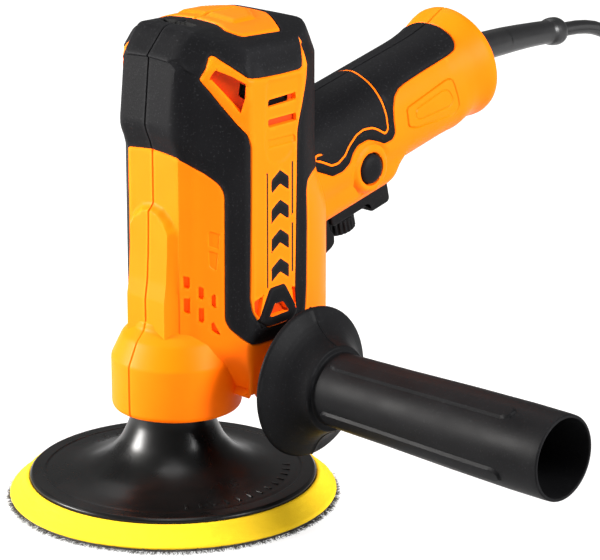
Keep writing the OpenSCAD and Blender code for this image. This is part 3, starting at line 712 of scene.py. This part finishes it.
def top_height(x, y):
    ay = np.abs(y)
    cheek_in = 0.860 * (x - NOSE_X) - 0.510 * (ay - NOSE_HALF)
    behind = np.maximum(x - ROUND_X, 0)
    out = np.where(x > ROUND_X, np.hypot(behind, ay), ay)
    rim = HALF - 8.2 * behind / np.maximum(out, 1)
    planes = [
        183.3 - 5.6 * (ay / 34) ** 2,
        168.2 + (rim - out) * 2.83,
        173.9 + (x + 12.2) * 1.127,
        171.8 + cheek_in * 1.6,
        184.3 - (x - 36) * 0.25,
        181.7 - (x - 50) * 0.882,
    ]
    k = 0.8
    return 170 - k * np.log(sum(np.exp(-(p - 170) / k) for p in planes))


def body_places(uv):
    """Point of the plain housing at (s, v), and its girth and unrolled height."""
    s, v = uv[:, 0], uv[:, 1]
    p0, n = contour(s)
    rim = p0 + n * swell(s, np.full(len(s), 172.0), n)[:, None]
    z_rim = top_height(rim[:, 0], rim[:, 1])
    z = np.where(v <= EDGE_ROW, v,
                 EDGE_ROW + (v - EDGE_ROW) / (TOP_ROW - EDGE_ROW) * (z_rim - EDGE_ROW))
    floor_z = np.interp(s, [0, 18, 27, 88, 104], [LOW, LOW, 47, 47.5, 61])
    z = np.where(z < 76, floor_z + (z - LOW) * (76 - floor_z) / (76 - LOW), z)
    z = np.where(v > TOP_ROW, z_rim, np.maximum(z, floor_z))
    p = p0 + n * swell(s, z, n)[:, None]
    x, y = p[:, 0], p[:, 1]
    t = np.clip((v - TOP_ROW) / TOP_SPAN, 0, 1) + np.clip((LOW - v) / LOW_SPAN, 0, 1)
    middle = np.clip(x, 8, 38)
    inset = np.hypot(x - middle, y) * t
    tx, ty = x + (middle - x) * t, y * (1 - t)
    top = v > TOP_ROW
    z_top = z_rim + top_height(tx, ty) - top_height(x, y)
    w = np.where(top, z_rim + inset, np.where(v < LOW, floor_z - inset, z))
    return np.column_stack([tx, ty, np.where(top, z_top, z)]), np.column_stack([s, w])


def body_base(uv):
    """The plain housing, drawn in towards its back on both sides of the nose."""
    p = body_places(uv)[0]
    t = np.clip((p[:, 1] - NOSE_HALF) / (HALF - NOSE_HALF), 0, 1)
    k = 4.2 * t * (1.7 - 0.7 * t)
    x = p[:, 0] + k * (1.015 + 0.0014 * p[:, 0])
    z = p[:, 2] - k * (0.567 - 0.00144 * p[:, 2])
    return np.column_stack([x, k - p[:, 1], z])


def on_wall(field):
    return lambda uv: field(body_places(uv)[1])


def on_top(field):
    """A field over the plan that only counts on the top."""
    def at(uv):
        p = body_places(uv)[0]
        return np.where(uv[:, 1] > TOP_ROW - 4, field(p[:, :2]), 30.0)
    return at


def bore_f(uv):
    """Distance outside the middle of the collar's wall, so that the spindle's space stays open."""
    p = body_base(uv)
    wall = np.interp(p[:, 2], [37, 57, 65, 70, 73], [23.3, 23.0, 19.0, 15.0, 14.5])
    return np.where(p[:, 2] < 74, np.hypot(p[:, 0], p[:, 1]) - wall, 30.0)


def groove(f, depth, half=GROOVE):
    return -depth * np.clip(1 - np.abs(f) / half, 0, 1)


def body_relief(uv):
    p, sw = body_places(uv)
    high = uv[:, 1] > TOP_ROW - 4
    cover, panel = cover_f(sw), panel_f(sw)
    insert = np.where(high, insert_f(p[:, :2]), 30.0)
    r = groove(np.abs(p[:, 1]), 0.7, 0.45)
    r += groove(cover, 0.4) + 0.5 * smooth(-cover / 1.2)
    r += groove(panel, 0.5) + 0.5 * smooth(-panel / 1.4)
    r += groove(insert, 0.6) + 0.4 * smooth(-insert / 1.0)
    r += np.where(high, 1.0 * np.clip(-raised_f(p[:, :2]) / 2.0, 0, 1), 0)
    r -= np.where(high, 2.5 * np.clip(-top_slots_f(p[:, :2]) / 0.3, 0, 1), 0)
    r -= 0.7 * smooth(-step_f(sw) / 0.6) * smooth((23 - sw[:, 0]) / 6)
    for field, depth in ((window_f, 2.2), (window_shade_f, 1.5), (slot_one_f, 1.8),
                         (slot_shade_f, 1.6), (slot_two_f, 1.6), (slot_three_f, 0.35),
                         (pockets_f, 1.6), (vents_f, 1.6), (label_f, 0.3)):
        r -= depth * np.clip(-field(sw) / RECESS_WALL, 0, 1)
    r -= 0.5 * smooth(-frame_f(sw) / 1.0)
    hole = bracket_hole_f(sw)
    r += 0.8 * np.clip(-bracket_f(sw) / 0.5, 0, 1) - 2.0 * np.clip(-hole / RECESS_WALL, 0, 1)
    return r + 0.25 * np.clip(-marks_f(sw) / 0.2, 0, 1)


def body_sheet():
    sheet = Sheet(
        steps(0, GIRTH, 0.85, 0.45, 12.2, NOSE_HALF, 14.6, 39.6, CHEEK_END, 42.1, GIRTH - 0.45),
        steps(LOW - LOW_SPAN, TOP_ROW + TOP_SPAN, 0.9, LOW, TOP_ROW))
    recesses = union([window_f, slot_one_f, slot_two_f, slot_three_f, pockets_f, vents_f, label_f,
                      bracket_hole_f])
    sheet.cut(on_wall(step_f))
    sheet.cut(on_wall(step_f), -0.6, 0.1)
    sheet.cut_each([on_wall(dome_f)], (0.0, -1.5, -3.0))
    sheet.cut_each([on_wall(cover_f), on_wall(panel_f), on_top(insert_f)], GROOVE_CUTS)
    sheet.cut(on_wall(recesses))
    sheet.cut(on_wall(recesses), -RECESS_WALL, 0.08)
    hole_shade_patches = union([window_shade_f, slot_shade_f])
    sheet.cut_each([on_wall(hole_shade_patches), on_wall(marks_f), on_wall(bracket_f)], (0.0,), 0.1)
    sheet.cut(on_wall(bracket_f), -0.5, 0.1)
    sheet.cut(on_top(top_slots_f))
    sheet.cut(on_top(top_slots_f), -0.3, 0.08)
    sheet.cut(on_top(raised_f))
    sheet.cut(bore_f, 0.0, 0.08)
    return sheet


body = body_sheet()
body_points, body_normals = surface(body_base, body_relief, body.uv)
mid = body.middles()
mid_p, mid_sw = body_places(mid)
mid_top = mid[:, 1] > TOP_ROW - 4
is_cover = cover_f(mid_sw) < 0
is_panel = panel_f(mid_sw) < 0
is_insert = mid_top & (insert_f(mid_p[:, :2]) < 0)
is_mark = is_panel & (marks_f(mid_sw) < 0)
is_bracket = (bracket_f(mid_sw) < 0) & (bracket_hole_f(mid_sw) > 0) & (pockets_f(mid_sw) > 0)
# floors of the deeper recesses, which get the darker orange: painted shade
is_recess_shade = is_panel & (union([window_f, slot_one_f, slot_two_f, pockets_f, bracket_hole_f])(mid_sw)
                      < -0.3)
# floors of the open slots, which get the near-black: painted shade
is_hole_shade = is_panel & ((window_shade_f(mid_sw) < 0) | (slot_shade_f(mid_sw) < 0))
is_hole_shade |= mid_top & (top_slots_f(mid_p[:, :2]) < 0)
is_open = bore_f(mid) < 0
kind = np.select([is_open, is_hole_shade, is_recess_shade, is_bracket, is_mark, is_insert, is_panel, is_cover],
                 [-1, 5, 6, 4, 4, 3, 2, 1], 0)
LOOKS = [
    ("shell", orange, 1.6, "housing"), ("cover_skin", rubber, 1.5, "cover"),
    ("side_panel", orange, 1.3, "panel"), ("top", orange, 1.3, None),
    # the darker orange piece on recess floors is painted shade
    # the near-black piece on the floors of open slots is painted shade
    ("trim", satin, 1.0, None), ("hole_shade_patches", hole_shade_black, 0.8, None), ("recesses", recess_shade_orange, 0.8, None),
]
SLOT_OF = {hole_shade_black: "black_plastic", recess_shade_orange: "orange_plastic"}
for side, mirrored in (("left", False), ("right", True)):
    for k, (word, mat, thick, node) in enumerate(LOOKS):
        verts, faces = shell(body_points, body_normals, body.tris[kind == k], thick, mirrored)
        stands = [f"{node}_{side}"] if node else (["top_insert"] if k == 3 and not mirrored else [])
        make(f"{word}_{side}", verts, faces, mat, "housing", stands, sharp=30,
             slot=SLOT_OF.get(mat))

# Collar round the spindle, with the parting line of the two shells.
COLLAR = fillet([(22.0, 37.2), (23.7, 37.0), (24.7, 38.6), (24.7, 57.2), (20.6, 65.8), (16.6, 70),
                 (16.0, 73), (13, 73), (13, 69), (17.5, 65), (21.5, 57), (22.0, 50)], 1.0)


def collar_seam(verts):
    close = np.clip(1 - np.abs(verts[:, 1]) / 0.5, 0, 1) * (np.hypot(verts[:, 0], verts[:, 1]) > 16)
    r = np.hypot(verts[:, 0], verts[:, 1])
    return verts * np.column_stack([1 - 0.45 * close / r, 1 - 0.45 * close / r, np.ones(len(r))])


make("collar", *revolved(COLLAR, 288, wobble=collar_seam), orange, "housing", sharp=25)

# Rings round the two threaded bosses for the side handle.
BOSS_AT = np.array([26.2, 0, 49.8])
for side, way in (("left", -1), ("right", 1)):
    where = axis_frame(BOSS_AT, (0, way, 0), (1, 0, 0))
    ring = fillet([(8.7, 26), (13.2, 26), (12.8, 36), (12.5, 40.5), (8.7, 40.5)], 0.8)
    make(f"boss_ring_{side}", *revolved(ring, 96, where), orange, "housing", sharp=30)


# ---------------------------------------------------------------- rear handle

TILT = math.radians(13.4)
ALONG = np.array([math.cos(TILT), 0, math.sin(TILT)])
RISE = np.array([-math.sin(TILT), 0, math.cos(TILT)])
HANDLE_AT = np.array([116, 0, 134.5])
GRIP_R = 19.5
HANDLE_LINE = np.array([
    (-78, 19.5), (16, 19.5), (22, 19.7), (28, 20.3), (33, 21.3), (37, 22.5), (40, 23.3),
    (42, 23.6), (43.6, 23.3), (44.8, 22.2), (45.4, 20.5), (46.2, 17), (50, 13.5), (54, 11), (54.2, 6),
])
HANDLE_V = np.append(0, np.cumsum(np.linalg.norm(np.diff(HANDLE_LINE, axis=0), axis=1)))
LOCK_AT = np.array([87.4, 115.8])
LOCK_R = 6.3
TRIGGER_AT = np.array([75.0, 0, 95.0])


def degrees_line(points):
    return [(math.radians(a) * GRIP_R, t) for t, a in points]


grip_cover_f = polygon_field(degrees_line([
    (-90, 84), (-65.4, 82.5), (-60.3, 91.1), (-53.6, 104.4), (-48, 105.7), (-43.8, 101.9),
    (-40.6, 93), (-36.8, 88), (-31.2, 88.5), (-27.2, 94.9), (-23, 103.2), (-18.5, 103.8),
    (-16.3, 98.7), (-15.2, 85), (-13.5, 71.9), (-10.2, 60.5), (-6.3, 54.8), (-2.3, 53.2),
    (7.8, 52), (25.3, 51.2), (28.7, 49.8), (30.8, 44.5), (32, 34), (32.3, 16.9), (32, -20),
    (-90, -20)]), 0.8)
RING_LINE = degrees_line([
    (-15, -15), (-15, 0), (-16.1, 17.9), (-16.8, 38.9), (-17.7, 58.6), (-18.7, 76), (-19.9, 89.7),
    (-22, 92.6), (-24.9, 84.1), (-27.6, 78.4), (-32.2, 74.9), (-36.6, 76.1), (-41.8, 82.8),
    (-45.5, 90.2), (-49.9, 93.6), (-53.4, 92), (-57.3, 83.1), (-60.6, 76.6), (-59.4, 72.5),
    (-56.9, 74.5)])
ring_line_f = line_field(RING_LINE, 0.4, 0.8)
ring_side_f = side_field(RING_LINE, 0.8)
badge_f = polygon_field(degrees_line([(-7, 80), (18.6, 74.5), (21.4, 78), (21.8, 112), (18.5, 117),
                                      (-4, 106.5), (-8.6, 101)]), 1.6)
badge_in_f = polygon_field(degrees_line([(-2.5, 87), (14.5, 84), (17.5, 87), (19, 101), (16.5, 105),
                                         (-1, 100), (-3.6, 97)]), 1.2)
TRIGGER_HOLE = [(1.4, -9), (36.8, -9), (36.8, 9), (1.4, 9)]
hole_f = polygon_field(TRIGGER_HOLE)


def handle_places(uv):
    th, v = uv[:, 0] / GRIP_R, uv[:, 1]
    t, r = np.interp(v, HANDLE_V, HANDLE_LINE[:, 0]), np.interp(v, HANDLE_V, HANDLE_LINE[:, 1])
    s, c = np.abs(np.sin(th)), -np.cos(th)
    depth = np.interp(t, [-80, -19, -17, -15, -13, -9.5, -6],
                      [25.6, 25.8, 25.4, 24.2, 21.8, 19, 15.5])
    r = r + 3.4 * smooth((c + 0.2) / 0.95) * (1 - smooth((t - 24) / 14))
    box = ((s / 18.0) ** 6 + (np.maximum(c, 1e-3) / depth) ** 6) ** (-1 / 6)
    box = np.where((c > 0) & (t < -5), box, 0)
    near = np.clip(1 - np.abs(r - box) / 1.6, 0, 1)
    r = np.maximum(r, box) + near * near * 0.4
    up, out = r * np.cos(th), r * np.sin(th)
    return HANDLE_AT + t[:, None] * ALONG + up[:, None] * RISE + out[:, None] * [0, -1, 0], t


def handle_base(uv):
    return handle_places(uv)[0]


def arc_t(uv):
    return np.column_stack([uv[:, 0], np.interp(uv[:, 1], HANDLE_V, HANDLE_LINE[:, 0])])


def on_grip(field):
    return lambda uv: field(arc_t(uv))


def trigger_hole(uv):
    """Distance to the trigger's opening, for the underside of the switch housing only."""
    p = handle_base(uv) - TRIGGER_AT
    along = p @ ALONG
    under = (p @ RISE < 9) & (along < 42)
    return np.where(under, hole_f(np.column_stack([along, p[:, 1]])), 30.0)


def lock_distance(uv):
    p = handle_base(uv)
    near = np.hypot(p[:, 0] - LOCK_AT[0], p[:, 2] - LOCK_AT[1])
    return np.where(p[:, 1] < -10, near, 40.0)


def handle_relief(uv):
    at = arc_t(uv)
    cover, line, badge = grip_cover_f(at), ring_line_f(at), badge_f(at)
    p = handle_base(uv)
    r = groove(np.abs(p[:, 1]), 0.4, 0.45) * (p[:, 2] > 100)
    r += groove(cover, 0.4) + 0.5 * smooth(-cover / 1.2)
    r -= 0.25 * np.clip(1 - line / 0.4, 0, 1)
    return r + groove(badge, 0.5) + groove(badge_in_f(at), 0.3) + 0.12 * smooth(-badge / 0.4)


def handle_shape(uv, lock):
    points, normals = surface(handle_base, handle_relief, uv)
    if lock:
        d = lock_distance(uv)
        rim = 20.3 - 1.0 * ((d - 7.7) / 1.9) ** 2
        blend_in = smooth((10.6 - d) / 1.6)
        points[:, 1] = np.where(d < 30, points[:, 1] * (1 - blend_in) - rim * blend_in, points[:, 1])
        points[:, 1] = np.where(d < LOCK_R, -16.5, points[:, 1])
    return points, normals


def handle_sheet(lock):
    sheet = Sheet(steps(0, math.pi * GRIP_R, 1.1, 0.45, math.pi * GRIP_R - 0.45),
                  steps(0, HANDLE_V[-1], 1.1, *HANDLE_V[-9:-1]))
    sheet.cut_each([on_grip(grip_cover_f)], GROOVE_CUTS)
    sheet.cut_each([on_grip(ring_side_f)], (*GROOVE_CUTS, 0.8, -0.8), 0.1)
    sheet.cut_each([on_grip(badge_f), on_grip(badge_in_f)], GROOVE_CUTS, 0.1)
    sheet.cut(trigger_hole, 0.0, 0.1)
    if lock:
        sheet.cut_each([lock_distance], (LOCK_R, 6.7, 8.0, 9.6), 0.1)
    return sheet


for side, mirrored in (("left", False), ("right", True)):
    grip = handle_sheet(not mirrored)
    points, normals = handle_shape(grip.uv, not mirrored)
    mid = grip.middles()
    cover_now, line_now = grip_cover_f(arc_t(mid)) < 0, ring_line_f(arc_t(mid)) < 0
    hole_now = (lock_distance(mid) < LOCK_R) & (not mirrored)
    open_now = trigger_hole(mid) < 0
    kind = np.select([open_now, hole_now, line_now & cover_now, cover_now], [-1, 3, 2, 1], 0)
    # the lock well's floor is near-black: painted shade in the gap round the lock button
    for k, (word, mat, thick) in enumerate((("handle", orange, 1.4), ("grip_cover", rubber, 1.2),
                                            ("grip_line", orange, 0.8), ("lock_well", hole_shade_black, 0.6))):
        if not (kind == k).any():
            continue
        verts, faces = shell(points, normals, grip.tris[kind == k], thick, mirrored)
        faces = [f[::-1] for f in faces]
        make(f"{word}_{side}", verts, faces, mat, "housing",
             [f"handle_cover_{side}"] if k == 1 else [], sharp=30,
             slot=SLOT_OF.get(mat))

lock_line = [(0, 21.6), (2.4, 21.5), (4.2, 21.2), (5.2, 20.7), (5.8, 20.0), (6.0, 19.0),
             (6.0, 14.6), (7.1, 14.6), (7.1, 14.2), (0, 14.2)]
lock_where = axis_frame((LOCK_AT[0], 0, LOCK_AT[1]), (0, -1, 0), (1, 0, 0))
make("lock_knob", *revolved(lock_line, 64, lock_where), rubber, "lock_button", ["lock_button"],
     sharp=40, slot="black_plastic")

TRIGGER_WHERE = (TRIGGER_AT, ALONG, np.array([0.0, 1, 0]), RISE)
trigger_line = fillet([(2, 5.4), (36, 5.4), (36, -6.2), (34.8, -7.5), (25.2, -7.5), (23.8, -6.4),
                       (23.2, -3.9), (3, -3.9), (2, -2.6)], 0.9)
make("trigger_block", *prism(trigger_line, 8.4, TRIGGER_WHERE, 0.9), satin, "trigger",
     ["trigger"], sharp=30)


def dial_mesh():
    """A ribbed wheel with rounded rims and a pin."""
    ribs, each = 24, 8
    n = ribs * each
    a = np.arange(n) * 2 * math.pi / n
    tooth = np.clip(np.cos(a * ribs) * 1.6, -1, 1) * 0.5 + 0.5
    rings = []
    for z, r, ribbed in [(-10.4, 6.6, 0), (-10.2, 7.2, 0.4), (-9.7, 7.45, 1), (-7.4, 7.45, 1),
                         (-5.2, 7.45, 1), (-4.7, 7.2, 0.4), (-4.5, 6.6, 0)]:
        rr = r + tooth * 0.55 * ribbed
        rings.append(np.column_stack([11.5 + rr * np.cos(a), rr * np.sin(a), np.full(n, z)]))
    pin = [np.column_stack([11.5 + 1.8 * np.cos(a), 1.8 * np.sin(a), np.full(n, z)])
           for z in (-4.5, 1.6)]
    verts, faces = loft(rings + pin)
    return placed(verts, TRIGGER_WHERE), faces


make("dial_wheel", *dial_mesh(), satin, "speed_dial", ["speed_dial"], sharp=35)
bezel_line = fillet([(60, 74), (66, 76.5), (71, 79.6), (74.5, 81.7), (78, 83.4), (79.6, 85.2),
                     (79.4, 88.5), (77.2, 90.5), (75.6, 96), (60, 92)], 1.0)
make("bezel", *prism(bezel_line, 8, UPRIGHT, 0.7), satin, "housing", ["trigger_bezel"], sharp=30)

# Tapered sleeve where the cord leaves the handle.
sleeve = fillet([(0, 148), (8.4, 148), (8.4, 150.5), (6.6, 151.5), (6.3, 160), (6.1, 172),
                 (5.7, 190), (5.2, 206), (5.0, 217), (5.1, 219.5), (5.7, 220.8), (6.0, 223),
                 (6.0, 225.5), (5.4, 227.4), (4.6, 228), (0, 228)], 0.8, closed=False)
sleeve_where = axis_frame((0, 0, 146.4), (1, 0, 0), (0, 1, 0))


def bowed(verts):
    """The sleeve stands a little up in its middle."""
    t = np.clip((verts[:, 2:] - 160) / 68, 0, 1)
    return verts + 5.2 * t * (1 - t) * [0, 1, 0]


sleeve_line = np.vstack([[(0, 148)], spline(sleeve[1:-1], 3), [(0, 228)]])
make("cord_sleeve", *revolved(sleeve_line, 72, sleeve_where, bowed), vinyl, "housing",
     ["strain_relief"], sharp=40, slot="black_rubber")


# ---------------------------------------------------------------- side handle

GUARD_LINE = fillet([
    (4.2, 41.4), (14, 41.4), (24, 43), (28.3, 44.2), (28.9, 44.9), (28.8, 45.6), (28.2, 46.2),
    (26.8, 46.9), (25.2, 47.7), (23.6, 48.6), (22.0, 49.8), (20.5, 51.2), (19.2, 52.8),
    (18.1, 54.5), (17.2, 56.3), (16.6, 57.9), (16.1, 58.6), (14.3, 58.7), (14.0, 59.6),
    (14.2, 66), (14.6, 90), (15.4, 120), (15.85, 148), (15.8, 163),
    (15.7, 165.1), (15.4, 165.5), (14.6, 165.5), (14.4, 165.1), (14.3, 150), (13.0, 92),
    (11.7, 88), (4.2, 88), (4.2, 60)], 0.4)
GUARD_LOOP = np.vstack([GUARD_LINE, GUARD_LINE[:1]])
GUARD_V = np.append(0, np.cumsum(np.linalg.norm(np.diff(GUARD_LOOP, axis=0), axis=1)))
TUBE_END = GUARD_V[np.argmax(GUARD_LOOP[:, 1])]
SIDE_ARC = 15.0
OVAL_RIM = 0.9  # width of the sloping rim of each long recess, and the recess's depth
ovals_f = union([
    polygon_field([(math.radians(a) * SIDE_ARC + q * half, e) for q, e in
                   [(-1, 64), (-0.6, 61.8), (0.6, 61.8), (1, 64), (1, 146), (0.6, 148.8),
                    (-0.6, 148.8), (-1, 146)]], 1.2)
    for a, half in ((62, 3.1), (152, 3.1), (242, 3.1), (332, 3.1))])


def side_places(uv):
    phi, v = uv[:, 0] / SIDE_ARC, uv[:, 1]
    r, e = np.interp(v, GUARD_V, GUARD_LOOP[:, 0]), np.interp(v, GUARD_V, GUARD_LOOP[:, 1])
    return r, e, phi


def side_base(uv):
    r, e, phi = side_places(uv)
    return BOSS_AT + np.column_stack([-r * np.cos(phi), -e, r * np.sin(phi)])


def side_ovals(uv):
    r, e, _ = side_places(uv)
    outer = (e > 60.5) & (r > 13.9) & (uv[:, 1] < TUBE_END)
    return np.where(outer, ovals_f(np.column_stack([uv[:, 0], e])), 20.0)


def side_relief(uv):
    r, e, phi = side_places(uv)
    recess = -OVAL_RIM * smooth(-side_ovals(uv) / OVAL_RIM)
    seam = np.abs(np.sin(phi - math.pi / 2)) * r
    line = -0.3 * np.clip(1 - seam / 0.35, 0, 1) * (r > 16.5) * (e > 44)
    return recess + line


guard = Sheet(steps(0, 2 * math.pi * SIDE_ARC, 1.0,
                    *(math.radians(a) * SIDE_ARC + k for a in (90, 270) for k in (-0.3, 0, 0.3))),
              steps(0, GUARD_V[-1], 1.0, *GUARD_V[1:-1]))
guard.cut(side_ovals)
guard.cut(side_ovals, -OVAL_RIM, 0.1)
guard_points = surface(side_base, side_relief, guard.uv)[0]
first, guard_tris = welded(guard_points, guard.tris)
make("hand_grip", guard_points[first], guard_tris.tolist(), satin, "housing", ["side_grip"], sharp=30)


# ---------------------------------------------------------------- pad

PAD_WHERE = axis_frame((0, 2.5, 0), (0, 0, 1), (1, 0, 0))
hub = spline([(47.6, 10.5), (44, 10.7), (40, 11.2), (36.5, 12), (33, 13), (30, 14.3), (27, 16),
              (24.3, 18), (22, 20.4), (20, 23), (18.6, 25.6), (17.3, 28.5), (16.4, 31),
              (15.8, 34), (15.4, 37)], 3)
plate_line = np.vstack([
    [(0, 7.6), (53.6, 7.6)],
    fillet([(54.8, 8.0), (54.8, 9.7), (53.9, 10.6), (49.2, 10.7), (48.9, 10.35), (48.3, 10.3)],
           0.3, closed=False),
    hub, [(15.3, 38.0), (15.0, 38.3), (14.6, 38.4), (0, 38.4)]])
make("plate", *revolved(plate_line, 192, PAD_WHERE), gloss, "pad", ["backing_plate"], sharp=28)


def plate_ticks():
    """Short raised bars round the plate, where a moulding carries its marks."""
    parts = []
    for deg in list(range(-128, -40, 7)) + list(range(20, 90, 7)):
        a = math.radians(deg)
        out = np.array([math.cos(a), math.sin(a), 0])
        at = np.array([0, 2.5, 10.75]) + out * 43.2
        outline = fillet([(-1.6, -0.5), (1.6, -0.5), (1.6, 0.5), (-1.6, 0.5)], 0.4)
        where = (at, out, np.array([0, 0, 1.0]), np.cross(out, [0, 0, 1.0]))
        parts.append(prism(outline, 0.32, where, 0.12, 2))
    return joined(parts)


make("plate_marks", *plate_ticks(), gloss, "pad", sharp=30)

foam_line = np.vstack([
    [(0, 1.5), (50, 1.5), (60, 1.5), (61.8, 1.55)],
    spline([(62.3, 1.9), (62.5, 2.5), (62.0, 3.3), (61.0, 4.1), (59.9, 5.0), (58.8, 6.0),
            (57.7, 7.0), (56.9, 7.9), (56.3, 8.5)], 4),
    [(55.8, 8.75), (55.2, 8.8), (54.9, 8.6), (54.9, 7.5), (50, 7.5), (0, 7.5)]])


def foam_pits(verts):
    """Open cells in the cut face of the foam."""
    r = np.hypot(verts[:, 0], verts[:, 1])
    out = verts.copy()
    for i in np.nonzero((r > 55.5) & (verts[:, 2] > 1.6))[0]:
        p = Vector(verts[i])
        cell = noise.noise(p * 1.1) * 0.10 + noise.noise(p * 0.35) * 0.08
        out[i, :2] *= 1 + cell / r[i]
        out[i, 2] += 0.5 * cell
    return out


foam_pad = make("foam_ring", *revolved(foam_line, 400, PAD_WHERE, foam_pits), foam, "pad",
                ["pad_foam"], sharp=50)


def hook_mesh():
    """The hook backing's edge: a thin disc and the bristles that stand out of it."""
    disc = revolved([(0, 0.3), (60.6, 0.3), (61.6, 0.6), (61.9, 0.9), (61.8, 1.5), (0, 1.5)], 240,
                    PAD_WHERE)
    parts = [disc]
    for _ in range(3400):
        a = rng.uniform(0, 2 * math.pi)
        out = np.array([math.cos(a), math.sin(a), 0])
        tangent = np.array([-math.sin(a), math.cos(a), 0])
        root = np.array([0, 2.5, rng.uniform(0.35, 1.5)]) + out * rng.uniform(61.4, 62.1)
        lean = out + tangent * rng.normal(0, 0.45) + np.array([0, 0, rng.normal(-0.25, 0.35)])
        lean /= np.linalg.norm(lean)
        size = rng.uniform(0.9, 2.6)
        hook = root + lean * size + tangent * rng.normal(0, 0.35)
        mid_p = root + lean * size * 0.55
        hook[2], mid_p[2] = max(hook[2], 0.12), max(mid_p[2], 0.15)
        thick = rng.uniform(0.07, 0.13)
        up = np.array([0, 0, 1.0])
        rings = []
        for p, k in ((root, 1.0), (mid_p, 0.85), (hook, 0.45)):
            rings.append([p + thick * k * (tangent * math.cos(t) + up * math.sin(t))
                          for t in (0, 2.1, 4.2)])
        parts.append(loft(rings))
    return joined(parts)


make("hook_edge", *hook_mesh(), hooks, "pad", ["hook_layer"], sharp=40)


# ---------------------------------------------------------------- CAD nodes that still show

FINISH = {
    "gear_case": cast, "gear_cover": cast, "motor_end_bracket": cast, "cooling_fan": satin,
    "air_baffle": satin, "armature_windings": copper, "field_coils": copper, "commutator": copper,
    "brush_holders": brass, "pad_insert": brass, "carbon_brushes": carbon, "speed_board": board,
    "switch_body": satin, "noise_capacitor": vinyl, "cord_clamp": satin, "inner_lead": vinyl,
    "counterweight": cast,
}
for name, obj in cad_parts.items():
    obj.data.materials.clear()
    obj.data.materials.append(FINISH.get(name, steel))
